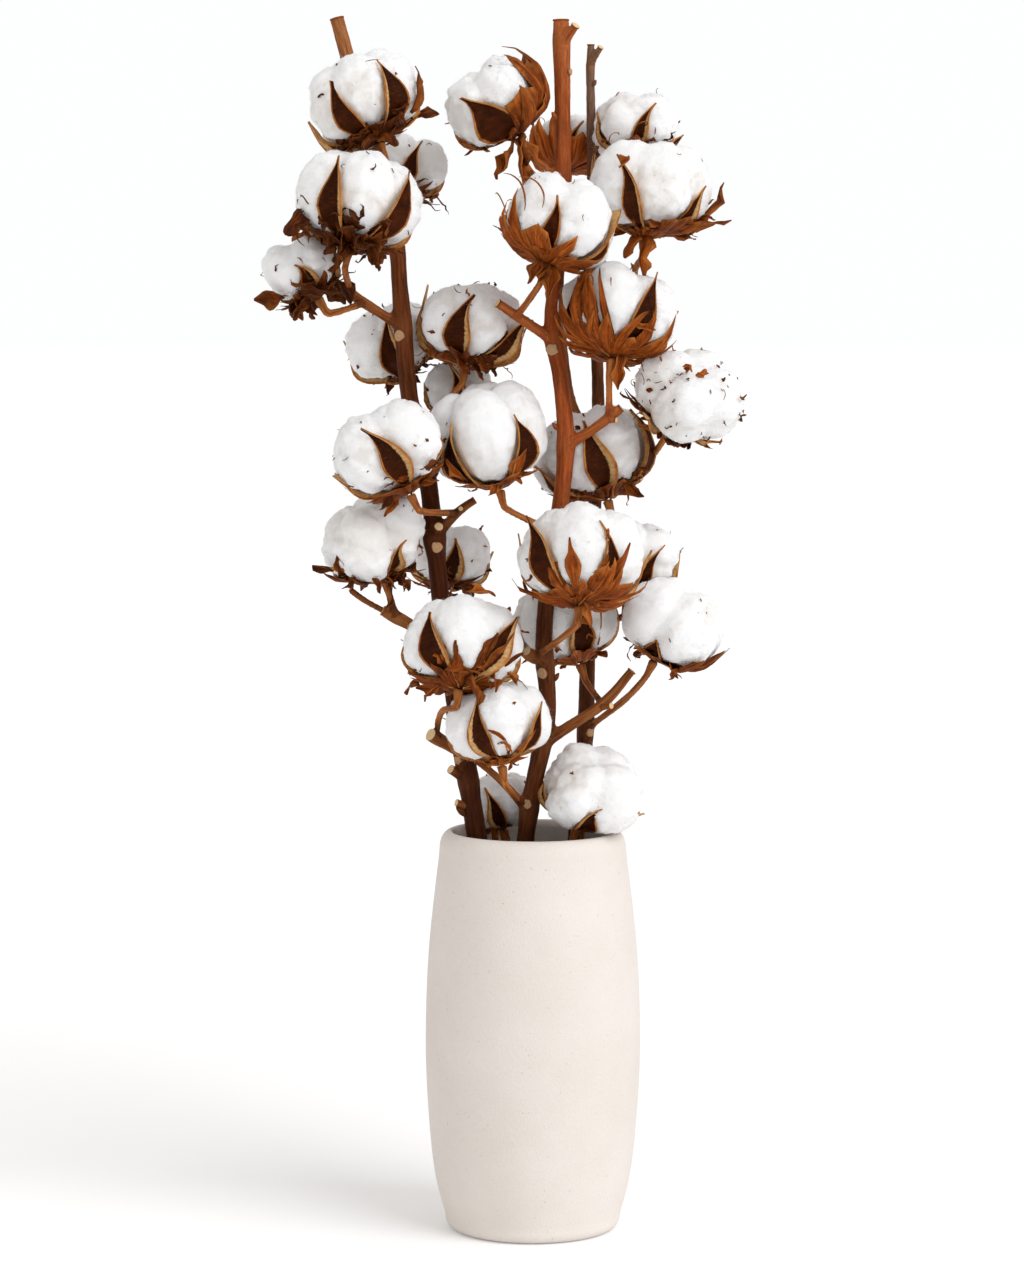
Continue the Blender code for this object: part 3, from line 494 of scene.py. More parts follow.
# ---- bolls --------------------------------------------------------------------------------------
class Boll:
    """One open boll's frame: +Z from husk to lint, +X towards its first carpel, in millimetres."""

    def __init__(self, number, middle, radius, axis, carpels, turn):
        self.number = number
        self.middle = np.array(middle, float)
        self.radius = radius
        self.axis = unit(np.array(axis, float))
        self.carpels = carpels
        self.look = {**LOOK, **LOOKS.get(number, {})}
        self.turn = turn = turn + self.look["turn"]
        self.height_ratio = TALL_BOLLS.get(number, LINT_HEIGHT_RATIO)
        lint_base = radius * (CORE_RADIUS + CORE_DROP) * self.height_ratio
        self.base = self.middle - self.axis * (lint_base + HUSK_CLEARANCE + HUSK_THICKNESS)
        front = np.array([0, -1, 0.0])
        front = unit(front - self.axis * front.dot(self.axis))
        side = np.cross(self.axis, front)
        spin = radians(turn)
        self.frame = np.stack([front * cos(spin) + side * sin(spin),
                               side * cos(spin) - front * sin(spin), self.axis], 1)
        sizes = random.Random(number)
        self.lock_sizes = [1 + sizes.uniform(-LOCK_VARIATION, LOCK_VARIATION)
                           for _ in range(carpels)]
        self.seed = number * 31
        self.chance = random.Random(number + 100)
        pick = self.chance.uniform
        self.carpel_shapes = []
        for i in range(carpels):
            shape = {"index": i, "bend": pick(-0.22, 0.22), "long": pick(0.84, 1.1),
                     "wide": pick(0.78, 1.18), "flare": pick(0, 0.07), "hook": pick(1, 5),
                     "lean": pick(-0.3, 0.3), "cup": pick(0, 0.8), "tilt": pick(-0.6, 0.6),
                     "lip": self.chance.choice((-1, 1, -1, 1, 0)), "roll": pick(1.2, 3.4)}
            self.carpel_shapes.append({**shape, **self.look["carpel"].get(i, {})})

    def place(self, points):
        return self.middle + points @ self.frame.T

    def smooth_reach(self, directions):
        """How far the lint stands from the middle, without its small lumps."""
        squashed = directions / np.array([1, 1, self.height_ratio])
        stretch = np.linalg.norm(squashed, axis=-1)
        rays = squashed / stretch[..., None]
        balls = [(np.array([0, 0, -CORE_DROP]), CORE_RADIUS)]
        for i, size in enumerate(self.lock_sizes):
            angle = 2 * pi * (i + 0.5) / self.carpels
            balls.append((np.array([cos(angle), sin(angle), 0]) * LOCK_OFFSET,
                          LOCK_RADIUS * size))
        total = 0
        for middle, radius in balls:
            along = rays @ middle
            inside = radius ** 2 - middle.dot(middle) + along ** 2
            reach = np.where(inside > 0, along + np.sqrt(np.maximum(inside, 0)), 0)
            total = total + np.exp(LOCK_SHARPNESS * reach)
        swell = 1 + (self.look["swell"] - 1) * smooth_step(-0.95, -0.3, directions[..., 2])
        return self.radius * swell * np.log(total) / LOCK_SHARPNESS / stretch

    def ray(self, polar, turn):
        """Unit directions at polar angles up from the husk's base and turns about the axis."""
        return np.stack([np.sin(polar) * np.cos(turn), np.sin(polar) * np.sin(turn),
                         -np.cos(polar) * np.ones_like(turn)], -1)

    def carpel_top(self, shape):
        """The polar angle of a carpel's tip."""
        return radians(self.look["carpel_top"]) * shape["long"]

    def carpel_half(self, shape, u):
        """Half the width of a carpel, at u from its base to its tip."""
        wide = self.radius * self.look["carpel_width"] * shape["wide"]
        u = np.clip(u, 0, 1)
        rest = np.clip((u - 0.55) / 0.45, 0, 1)
        foot = 0.42 + 0.58 * smooth_step(0.05, 0.58, u)
        return wide * np.where(u < 0.55, foot, np.maximum(0.045, (1 - rest ** 1.6) ** 1.45))

    def carpel_press(self, directions):
        """1 under a carpel and 0 away from it."""
        polar = np.arccos(np.clip(-directions[:, 2], -1, 1))
        turn = np.arctan2(directions[:, 1], directions[:, 0])
        press = np.zeros(len(directions))
        for shape in self.carpel_shapes:
            u = (polar - CARPEL_FOOT) / (self.carpel_top(shape) - CARPEL_FOOT)
            away = turn - 2 * pi * shape["index"] / self.carpels
            away = away - shape["bend"] * np.clip(u, 0, 1) ** 2
            away = np.abs((away + pi) % (2 * pi) - pi) * np.sin(polar) * self.radius
            half = np.maximum(self.carpel_half(shape, u), 0.3)
            near = 1 - smooth_step(0.9, 1.3, away / half)
            press = np.maximum(press, near * (1 - smooth_step(0.85, 1.0, u)))
        return press


def triangle(across, other):
    return [across, -0.5 * across + 0.87 * other, -0.5 * across - 0.87 * other]


def bent_needles(root, heading, length, thick, rough):
    """Bent needles with a three-sided foot, as points and faces."""
    count = len(root)
    bend = unit(np.cross(heading, rough.normal(size=(count, 3))))
    middle = root + heading * length * 0.55 + bend * length * 0.13
    tip = root + heading * length - bend * length * rough.uniform(-0.1, 0.4, (count, 1))
    ring = triangle(unit(np.cross(heading, bend)), bend)
    foot = [root + r * thick for r in ring]
    knee = [middle + r * thick * 0.8 for r in ring]
    points = np.stack(foot + knee + [tip], 1).reshape(-1, 3)
    base = (np.arange(count) * 7)[:, None]
    faces = [np.array([f]) + base for f in
             ([0, 1, 4, 3], [1, 2, 5, 4], [2, 0, 3, 5], [3, 4, 6], [4, 5, 6], [5, 3, 6], [2, 1, 0])]
    return points, faces


def short_needles(root, heading, length, thick, rough):
    """Straight three-sided needles, as points and faces."""
    count = len(root)
    across = unit(np.cross(heading, rough.normal(size=(count, 3))))
    ring = triangle(across, np.cross(heading, across))
    points = np.stack([root + r * thick for r in ring] + [root + heading * length], 1)
    base = (np.arange(count) * 4)[:, None]
    faces = [np.array([f]) + base for f in ([0, 1, 3], [1, 2, 3], [2, 0, 3], [2, 1, 0])]
    return points.reshape(-1, 3), faces


def puffed(directions, rough, count):
    """Cloud-like round lumps over a sphere, from 0 in the creases to 1 on their tops."""
    centres = unit(rough.normal(size=(count, 3)))
    sizes = rough.uniform(0.8, 1.25, count)
    nearest = (np.linalg.norm(directions[:, None] - centres[None], axis=2) / sizes).min(axis=1)
    return np.sqrt(np.maximum(0, 1 - (nearest * sqrt(count) / 2.5) ** 2))


def make_cotton(boll):
    """The lint of one boll: puffed locks, with loose fibres standing off them."""
    directions, quads = cube_sphere(int(boll.radius * 0.84) + 1)
    rough = np.random.default_rng(boll.seed)
    puff = puffed(directions, rough, boll.look["puffs"])
    tuft = puffed(directions, rough, TUFTS)
    flat = directions * boll.radius
    warped = flat + 1.6 * noise_vectors(flat, 7.0, boll.seed + 3)
    billow = 1.7 * np.abs(lattice_noise(warped, 8.5, boll.seed)) ** 0.8
    billow += 0.8 * np.abs(lattice_noise(warped, 4.4, boll.seed + 1)) ** 0.8
    billow += 0.3 * lattice_noise(flat, 2.2, boll.seed + 2)
    bump = boll.look["puff"] * (puff - 0.55) * 1.3 + 1.4 * (tuft - 0.55) + 1.25 * (billow - 0.85)
    press = boll.carpel_press(directions)
    reach = boll.smooth_reach(directions) + bump * (1 - 0.85 * press) - 1.1 * press
    reach = reach - 2.2 * smooth_step(0.8, 0.95, -directions[:, 2])
    boll.skin = directions, reach
    points = boll.place(directions * reach[:, None])
    # raised is low in the creases between lumps and under the carpels; the lint material paints shade
    # from it
    raised = np.clip(0.5 + 0.32 * bump, 0, 1) * (1 - 0.7 * press)
    parts = MeshParts()
    parts.add(points, [quads], points,
              columns(raised, press, directions[:, 2] * 0.5 + 0.5, 0.5))

    corners = points[quads]
    cross = np.cross(corners[:, 2] - corners[:, 0], corners[:, 3] - corners[:, 1])
    area = np.linalg.norm(cross, axis=1) * (1 - 0.97 * press[quads].mean(axis=1))
    loose = int(boll.radius ** 2 * 0.16 * boll.look["fuzz"])
    count = int(boll.radius ** 2 * 3.4) + loose
    picks = rough.choice(len(quads), count, p=area / area.sum())
    normal = unit(cross)[picks]
    spread = rough.uniform(0, 1, (count, 2, 1))
    low, high = corners[picks, 0], corners[picks, 1]
    far_low, far_high = corners[picks, 3], corners[picks, 2]
    near_side = low + (high - low) * spread[:, 0]
    far_side = far_low + (far_high - far_low) * spread[:, 0]
    root = near_side + (far_side - near_side) * spread[:, 1] - normal * 0.35
    tangent = noise_vectors(root, 6.0, boll.seed + 5) * 1.5 + rough.normal(size=(count, 3)) * 0.9
    tangent = unit(tangent - normal * (tangent * normal).sum(1)[:, None])
    lift = rough.uniform(0.12, 0.95, (count, 1))
    heading = unit(tangent * (1 - lift) + normal * lift)
    short = slice(loose, None)
    fuzz = short_needles(root[short], heading[short], rough.uniform(0.9, 2.6, (count - loose, 1)),
                         rough.uniform(0.045, 0.085, (count - loose, 1)), rough)
    wisps = bent_needles(root[:loose], unit(heading[:loose] + tangent[:loose] * 0.8),
                         rough.uniform(2.5, 6.5, (loose, 1)), rough.uniform(0.035, 0.06, (loose, 1)),
                         rough)
    for needles, faces in (fuzz, wisps):
        parts.add(needles, faces, needles, np.array([1.0, 0.0, 0.5, 0.9]))
    number = f"boll_{boll.number:02d}"
    parts.make(f"{number}_cotton", [COTTON], "lint", f"{number}_lint")


def add_carpel(parts, boll, shape):
    """A dry boat-shaped carpel wall in the valley between two locks, hollow outwards."""
    u = np.linspace(0, 1, CARPEL_ROWS)[:, None]
    polar = CARPEL_FOOT + (boll.carpel_top(shape) - CARPEL_FOOT) * u
    half = boll.carpel_half(shape, u)
    pitch = pi / boll.carpels
    angle = np.minimum(half / (boll.radius * np.sin(polar)), pitch * 1.02)
    middle = 2 * pi * shape["index"] / boll.carpels + shape["bend"] * u ** 2
    middle = middle + shape["lean"] * np.maximum(0, (u - 0.7) / 0.3) ** 2
    turn = middle + angle * CARPEL_V
    polar = polar + 0 * turn
    rays = boll.ray(polar, turn)
    reach = boll.smooth_reach(rays)
    reach = 0.5 * reach + 0.5 * reach.mean(axis=1, keepdims=True)
    reach = reach + 0.4 + (0.20 * half + shape["cup"]) * np.abs(CARPEL_V) ** 3
    reach = reach + shape["flare"] * boll.radius * u ** 1.5 * (1 + shape["tilt"] * CARPEL_V)
    reach = reach + shape["hook"] * np.maximum(0, (u - 0.75) / 0.25) ** 2
    reach = reach + 0.35 * (CARPEL_V == 0) * np.minimum(1, u * 3)      # the mid-rib
    lip = np.maximum(0, CARPEL_V * shape["lip"] - 0.45) / 0.55
    reach = reach + shape["roll"] * lip ** 1.6 * np.sin(pi * (0.12 + 0.85 * u))
    grid = rays * reach[..., None]
    flat = grid.reshape(-1, 3)
    wrinkle = lattice_noise(flat * [1, 1, 2.0], 3.2, boll.seed + shape["index"])
    wrinkle = wrinkle + 0.6 * lattice_noise(flat, 1.7, boll.seed + 40)
    grid = grid + rays * (0.32 * wrinkle.reshape(grid.shape[:2]))[..., None]
    points, faces, u, v, side = sheet_solid(grid, 0.8, CARPEL_V)
    long = boll.radius * boll.carpel_top(shape)
    grain = columns(u * long, v * CARPEL_GRAIN, boll.seed + 9.0 * shape["index"])
    tone = columns(u, 0.5 + 0.5 * shape["lip"], side, boll.chance.random())
    parts.add(boll.place(points), faces, grain, tone)


def add_cup(parts, boll):
    """The calyx: a shallow crumpled cup round the stem, under the bracts."""
    v = np.linspace(-1, 1, 41)
    turn = (v + 1) * (pi + 0.15)
    u = np.linspace(0, 1, 8)[:, None]
    rim = 0.52 + 0.10 * np.sin(turn * 5 + boll.seed) + 0.05 * np.sin(turn * 11)
    rays = boll.ray(0.05 + (rim - 0.05) * u, turn + 0 * u)
    rise = 0.9 + 0.6 * v + 1.2 * u ** 2 + 0.5 * np.sin(turn * 15) * u
    grid = rays * (boll.smooth_reach(rays) + rise)[..., None]
    points, faces, uu, vv, side = sheet_solid(grid, 0.5)
    grain = columns(uu * 16, vv * 60, 50.0 + boll.seed)
    # along runs only to 0.3, so the bract material's painted shade at the foot darkens the lower half
    # of the cup.
    tone = columns(uu * 0.3, smooth_step(0.8, 1, uu) * 0.5, side, boll.look["tone"] * 0.8)
    parts.add(boll.place(points), faces, grain, tone, 1)


def add_bract(parts, boll, view, spread, teeth, reach, lift=2.6, curl=0.0, cut=0.5):
    """A papery pleated bract round the foot of a boll, its rim torn into long pointed teeth."""
    chance = boll.chance
    centre = radians(view - boll.turn)
    spread = radians(spread) / 2
    top = radians(reach)
    widths = np.array([chance.uniform(0.4, 1.7) for _ in range(teeth)])
    edges = -1 + 2 * np.concatenate([[0], np.cumsum(widths)]) / widths.sum()
    v, w, long, sway, bend, notch = [], [], [], [], [], []
    for k in range(teeth):
        half = (edges[k + 1] - edges[k]) / 2
        v += list(edges[k] + half * (1 + TOOTH_W))
        w += list(TOOTH_W)
        own = (1 - 0.25 * (edges[k] + half) ** 2) * chance.uniform(0.58, 1.15)
        own_sway, own_bend = chance.uniform(-0.8, 0.8), chance.uniform(-1.5, 4.0)
        own_bend += 6.0 * (chance.random() < 0.15)
        own_notch = min(own * 0.9, cut * chance.uniform(0.65, 1.3))
        for place in TOOTH_W:
            long.append(own)
            sway.append(own_sway)
            bend.append(own_bend)
            notch.append(own_notch if place > -1 else min(own_notch, notch[-1] if notch else 1))
    v, w, long, sway, bend, notch = (np.array(line + [line[-1] if i else 1.0]) for i, line in
                                     enumerate((v, w, long, sway, bend, notch)))
    w[-1] = 1
    height = notch + (long - notch) * (1 - np.abs(w)) ** 1.1
    u = np.linspace(0, 1, BRACT_ROWS)[:, None]
    share = u * height
    over = np.maximum(0, share - notch * 0.9)
    turn = centre + spread * v + sway * over ** 1.4 + 0 * u
    polar = BRACT_FOOT + (top - BRACT_FOOT) * share
    rays = boll.ray(polar, turn)
    ring = boll.ray(polar, np.full(polar.shape, pi / boll.carpels))
    out = 0.5 * boll.smooth_reach(rays) + 0.5 * boll.smooth_reach(ring)
    pleat = 0.9 * np.cos(pi * w) * np.minimum(1, share * 3) * (0.3 + share)
    rise = lift * (0.35 + 0.65 * np.minimum(1, share * 3)) + pleat
    rise = rise + (bend + curl * 12) * over ** 2 + 0.8 * chance.random()
    grid = rays * (out + rise)[..., None]
    flat = grid.reshape(-1, 3)
    push = noise_vectors(flat, 7.0, boll.seed + int(view)) * 1.2
    push = push + noise_vectors(flat, 2.8, boll.seed + 5) * 0.4
    grid = grid + push.reshape(grid.shape) * np.minimum(1, share * 3)[..., None]
    points, faces, uu, vv, side = sheet_solid(grid, 0.32, v)
    up = np.tile(share.ravel(), 2)
    grain = columns(up * boll.radius * top, vv * spread * boll.radius, 3.0 * view)
    rim = np.tile(((u > 0.93) | (np.abs(w) > 0.97) & (share > notch * 0.97)).ravel() * 1.0, 2)
    shade = boll.look["tone"] + chance.uniform(-0.1, 0.1)
    # Painted shade: the tone is raised along the middle of each tooth and lowered in the pleat valleys
    # between teeth, following the pleats.
    fold = np.tile((np.cos(pi * w) + 0 * u).ravel(), 2)
    parts.add(boll.place(points), faces, grain, columns(up, rim, side, shade + 0.16 * fold), 1)


def add_leaf(parts, seed, tone, **strip):
    """A thin dry leaf or tendril, shaped by leaf_strip."""
    points, faces, u, v, side = sheet_solid(leaf_strip(seed=seed, **strip), 0.35)
    grain = columns(u * strip["length"], v * strip["width"] / 2, seed * 1.7)
    parts.add(points, faces, grain, columns(u, smooth_step(0.7, 1.0, np.abs(v)), side, tone), 1)


def add_scrap(parts, boll, view, polar, length, width, way, out=0.4, curl=0.0, twist=0.0,
              tone=0.4, lift=1.2, fold=0.4, wrinkle=0.5, sway=0.0, hang=0.0):
    """A scrap of dry leaf, or a tendril where it is narrow. Its foot is at the view angle and the
    polar angle; way turns its heading from up the boll rightwards, and hang bends that down."""
    turn = radians(view - boll.turn)
    ray = boll.ray(np.array([radians(polar)]), np.array([turn]))
    start = boll.place(ray * (boll.smooth_reach(ray) + lift)[:, None])[0]
    normal = boll.frame @ ray[0]
    up = unit(boll.axis - normal * np.dot(boll.axis, normal))
    right = np.cross(up, normal)
    heading = up * cos(radians(way)) + right * sin(radians(way)) + normal * out
    heading = unit(heading) * (1 - hang) + np.array([-0.15, -0.25, -1.0]) * hang
    thin = width < 2
    add_leaf(parts, boll.seed + int(view + polar), tone, start=start, direction=heading,
             normal=normal, length=length, width=width, curl=curl, twist=twist, fold=fold,
             sway=sway, rows=12 if thin else 9, columns=3 if thin else 5, wrinkle=wrinkle,
             profile=None if thin else ragged(boll.chance))


def ragged(chance):
    """A random outline for a torn scrap, from its foot to its tip."""
    shift, rate = chance.uniform(0, 6), chance.uniform(5, 11)
    return lambda u: max(0.08, sin(pi * (0.16 + 0.8 * u)) * (0.8 + 0.3 * sin(rate * u + shift)))


def add_crumples(parts, boll, count):
    """Dried, curled scraps and tendrils round the foot of the boll."""
    pick = boll.chance.uniform
    big = boll.look["crumple"]
    for k in range(count):
        thin = boll.chance.random() < 0.3
        add_scrap(parts, boll, view=pick(0, 360), polar=pick(14, 62),
                  length=pick(9, 20) if thin else pick(7, 15) * big,
                  width=pick(0.8, 1.6) if thin else pick(4.0, 9.0) * big,
                  way=pick(-110, 110), out=pick(-0.1, 0.9),
                  curl=pick(-3.0, 3.0) if thin else pick(-2.6, 1.8), twist=pick(-2.0, 2.0),
                  tone=boll.look["tone"] + pick(-0.3, 0.25), lift=pick(0.6, 2.6),
                  fold=pick(-1.1, 1.1), wrinkle=1.3 * big, sway=pick(-1, 1), hang=pick(0, 0.35))


def add_trash(parts, boll, count):
    """Small brown flakes and hairs caught on the lint."""
    chance = boll.chance
    pick = chance.uniform
    directions, reach = boll.skin
    for k in range(count):
        ray = boll.ray(np.array([pick(1.0, 2.7)]), np.array([pick(0, 2 * pi)]))
        if boll.carpel_press(ray)[0] > 0.2:
            continue
        normal = boll.frame @ ray[0]
        start = boll.place(ray * (reach[np.argmax(directions @ ray[0])] + 0.35))[0]
        way = unit(np.cross(normal, [chance.gauss(0, 1) for _ in range(3)])) + normal * 0.12
        hair = chance.random() < 0.3
        add_leaf(parts, boll.seed + 50 + k, boll.look["tone"] + pick(-0.4, 0.3),
                 start=start, direction=way, normal=normal,
                 length=pick(4, 9) if hair else pick(2.0, 6.0),
                 width=0.4 if hair else pick(0.9, 2.8),
                 curl=pick(-4, 4) if hair else pick(-3.0, 2.2), sway=pick(-2, 2),
                 twist=pick(-2.2, 2.2), fold=pick(-1.1, 1.1), rows=8 if hair else 6,
                 columns=3 if hair else 4,
                 profile=None if hair else ragged(chance), wrinkle=0.2 if hair else 0.9)


def make_husk(boll):
    """The carpels, cup, bracts and dry scraps of one boll."""
    parts = MeshParts()
    for shape in boll.carpel_shapes:
        if shape["long"] > 0.2:
            add_carpel(parts, boll, shape)
    add_cup(parts, boll)
    for bract in boll.look["bracts"]:
        add_bract(parts, boll, *bract)
    for scrap in boll.look["scraps"]:
        add_scrap(parts, boll, *scrap)
    add_crumples(parts, boll, boll.look["crumples"])
    add_trash(parts, boll, boll.look["trash"])
    number = f"boll_{boll.number:02d}"
    parts.make(f"{number}_dry_husk", [CARPEL, BRACT], "dry_husk", f"{number}_husk")


# ---- materials ----------------------------------------------------------------------------------
class Nodes:
    """A material's node tree, written from left to right."""

    def __init__(self, name):
        self.material = bpy.data.materials.new(name)
        self.material.use_nodes = True
        self.tree = self.material.node_tree
        self.shader = self.tree.nodes["Principled BSDF"]

    def add(self, kind, **settings):
        """A node with its properties set, and its sockets set or linked, by name."""
        node = self.tree.nodes.new(kind)
        for name, value in settings.items():
            if name.replace("_", " ") in node.inputs:
                self.feed(node.inputs[name.replace("_", " ")], value)
            else:
                setattr(node, name, value)
        return node

    def feed(self, socket, value):
        if isinstance(value, bpy.types.NodeSocket):
            self.tree.links.new(value, socket)
        elif value is not None:
            socket.default_value = value

    def place(self):
        return self.add('ShaderNodeTexCoord').outputs["Object"]

    def grain(self):
        return self.add('ShaderNodeAttribute', attribute_name="grain").outputs["Vector"]

    def tone(self):
        """The four values of the mesh's tone."""
        node = self.add('ShaderNodeAttribute', attribute_name="tone")
        return [*self.split(node.outputs["Color"]), node.outputs["Alpha"]]

    def split(self, colour):
        return self.add('ShaderNodeSeparateColor', Color=colour).outputs

    def mapped(self, vector, scale, location=(0, 0, 0)):
        return self.add('ShaderNodeMapping', Vector=vector, Scale=scale,
                        Location=location).outputs["Vector"]

    def noise(self, vector, scale, detail=4.0, roughness=0.55, distortion=0.0):
        return self.add('ShaderNodeTexNoise', Vector=vector, Scale=scale, Detail=detail,
                        Roughness=roughness, Distortion=distortion).outputs["Fac"]

    def ramp(self, value, *stops):
        node = self.add('ShaderNodeValToRGB', Fac=value)
        elements = node.color_ramp.elements
        while len(elements) < len(stops):
            elements.new(0.5)
        for element, (place, colour) in zip(elements, stops):
            element.position = place
            element.color = (*colour, 1)
        return node.outputs["Color"]

    def mask(self, value, low, high, first=0, last=1):
        """Grey, from first where the value is low to last where it is high."""
        return self.ramp(value, (low, (first,) * 3), (high, (last,) * 3))

    def mix(self, share, a, b, blend='MIX'):
        node = self.add('ShaderNodeMix', data_type='RGBA', blend_type=blend, Factor=share)
        for socket, value in zip(node.inputs[6:8], (a, b)):
            self.feed(socket, (*value, 1) if isinstance(value, tuple) else value)
        return node.outputs[2]

    def maths(self, operation, a, b=0.0, c=0.0, clamp=False):
        node = self.add('ShaderNodeMath', operation=operation, use_clamp=clamp)
        for socket, value in zip(node.inputs, (a, b, c)):
            self.feed(socket, value)
        return node.outputs[0]

    def times(self, a, b):
        return self.maths('MULTIPLY', a, b)

    def plus(self, a, b, clamp=False):
        return self.maths('ADD', a, b, clamp=clamp)

    def minus(self, a, b):
        return self.maths('SUBTRACT', a, b)

    def bump(self, height, strength, distance, normal=None):
        return self.add('ShaderNodeBump', Height=height, Strength=strength, Distance=distance,
                        Normal=normal).outputs["Normal"]

    def finish(self, colour, roughness, normal=None, **constants):
        sockets = {"Base Color": colour, "Roughness": roughness, "Normal": normal, **constants}
        for name, value in sockets.items():
            self.feed(self.shader.inputs[name.replace("_", " ")], value)
        return self.material


def cotton_material():
    n = Nodes("cotton_lint")
    place = n.place()
    raised, hidden = n.tone()[:2]
    clumps = n.noise(place, 190.0, 5.0, 0.62, 1.2)
    strands = n.noise(n.mapped(place, (1, 1, 0.45)), 1300.0, 4.0, 0.65, 3.5)
    # Painted shade: the lint goes warm grey where raised is low, in the creases between lumps and
    # under the carpels.
    crease_shade = n.ramp(raised, (0.05, (0.86, 0.835, 0.81)), (0.45, (0.955, 0.95, 0.942)),
                  (0.85, (0.985, 0.985, 0.984)))
    soft = n.ramp(clumps, (0.3, (0.95, 0.943, 0.935)), (0.6, (1, 1, 1)))
    colour = n.mix(0.6, crease_shade, soft, 'MULTIPLY')
    colour = n.mix(n.times(strands, 0.16), colour, (0.98, 0.98, 0.975))
    # The lint is also tinted brown where the carpels press on it.
    colour = n.mix(n.times(hidden, 0.4), colour, (0.62, 0.48, 0.34))
    tufts = n.noise(n.mapped(place, (1, 1, 0.8), (3, 1, 2)), 430.0, 5.0, 0.62, 1.8)
    normal = n.bump(clumps, 0.5, 0.002)
    normal = n.bump(tufts, 0.55, 0.001, normal)
    normal = n.bump(strands, 0.6, 0.0005, normal)
    return n.finish(colour, 0.95, normal, Specular_IOR_Level=0.12, Subsurface_Weight=0.9,
                    Subsurface_Radius=(1.0, 0.95, 0.9), Subsurface_Scale=0.010,
                    Sheen_Weight=0.2, Sheen_Roughness=0.6)


def carpel_material():
    """Dark ribbed wall with a pale rolled lip; side tells its hollow face from the lint's side."""
    n = Nodes("dry_carpel")
    grain = n.grain()
    along, lip_side, side, chance = n.tone()
    v = n.maths('DIVIDE', n.add('ShaderNodeSeparateXYZ', Vector=grain).outputs["Y"], CARPEL_GRAIN)
    wrinkle = n.noise(n.mapped(grain, (0.9, 0.22, 1.0)), 1.0, 5.0, 0.62, 0.6)
    patch = n.noise(grain, 0.16, 4.0, 0.6)
    worn = n.times(n.minus(n.noise(grain, 0.45, 3.0, 0.6), 0.5), 0.3)
    edge = n.mask(n.plus(n.maths('ABSOLUTE', v), n.times(worn, 0.4)), 0.86, 0.94)
    lip = n.times(v, n.maths('MULTIPLY_ADD', lip_side, 2.0, -1.0))
    lip = n.mask(n.plus(lip, worn), 0.60, 0.68)
    dark = n.ramp(wrinkle, (0.34, (0.0065, 0.0016, 0.0006)), (0.54, (0.026, 0.0062, 0.0019)),
                  (0.76, (0.088, 0.021, 0.0048)))
    warm = n.ramp(patch, (0.35, (0.014, 0.0032, 0.0010)), (0.7, (0.098, 0.021, 0.0042)))
    outer = n.mix(n.times(chance, 0.6), dark, warm)
    foot = n.maths('POWER', n.minus(1.0, along), 2.0)
    outer = n.mix(n.times(foot, 0.5), outer, (0.15, 0.030, 0.0046))
    pale = n.ramp(wrinkle, (0.3, (0.42, 0.19, 0.055)), (0.62, (0.68, 0.44, 0.20)))
    rim = n.ramp(patch, (0.3, (0.27, 0.068, 0.0095)), (0.7, (0.56, 0.235, 0.06)))
    colour = n.mix(side, pale, outer)
    colour = n.mix(n.times(lip, 0.92), colour, pale)
    colour = n.mix(edge, colour, rim)
    return n.finish(colour, n.plus(n.times(wrinkle, 0.3), 0.36), n.bump(wrinkle, 0.7, 0.0012),
                    Specular_IOR_Level=0.04)


def bract_material():
    """Papery and veined, from dull brown to orange by its shade, with painted shade in its pleats and
    at its foot.
    """
    n = Nodes("dry_bract")
    grain = n.grain()
    along, edge, _, shade = n.tone()
    veins = n.noise(n.mapped(grain, (0.07, 0.75, 1.0)), 1.0, 4.0, 0.6, 0.5)
    patch = n.noise(grain, 0.13, 4.0, 0.65)
    spots = n.noise(grain, 0.8, 3.0, 0.6)
    lit = n.ramp(veins, (0.27, (0.11, 0.0184, 0.00184)), (0.48, (0.313, 0.0626, 0.0069)),
                 (0.62, (0.46, 0.12, 0.0166)), (0.76, (0.662, 0.267, 0.0552)))
    dull = n.ramp(veins, (0.27, (0.0095, 0.0021, 0.0007)), (0.52, (0.053, 0.0112, 0.0025)),
                  (0.8, (0.18, 0.044, 0.0095)))
    # shade is the boll's tone, with painted shade in the pleat valleys.
    share = n.plus(shade, n.times(n.minus(patch, 0.5), 1.5), clamp=True)
    colour = n.mix(share, dull, lit)
    colour = n.mix(n.times(n.maths('GREATER_THAN', spots, 0.68), 0.5), colour,
                   (0.0644, 0.0166, 0.0046))
    glow = n.times(edge, n.maths('MULTIPLY_ADD', share, 0.5, 0.06))
    colour = n.mix(glow, colour, (0.589, 0.22, 0.048))
    colour = n.mix(n.times(n.maths('POWER', along, 5.0), 0.5), colour, (0.0644, 0.0202, 0.00644))
    normal = n.bump(veins, 0.75, 0.001)
    normal = n.bump(spots, 0.25, 0.0004, normal)
    # Painted shade: each bract, cup and scrap is darkened towards its foot, down in the hollow round
    # the stem.
    colour = n.mix(n.mask(along, 0.04, 0.16, 0.506, 0), colour, (0.0276, 0.00736, 0.00184))
    return n.finish(colour, n.plus(n.times(veins, 0.25), 0.38), normal, Specular_IOR_Level=0.05)


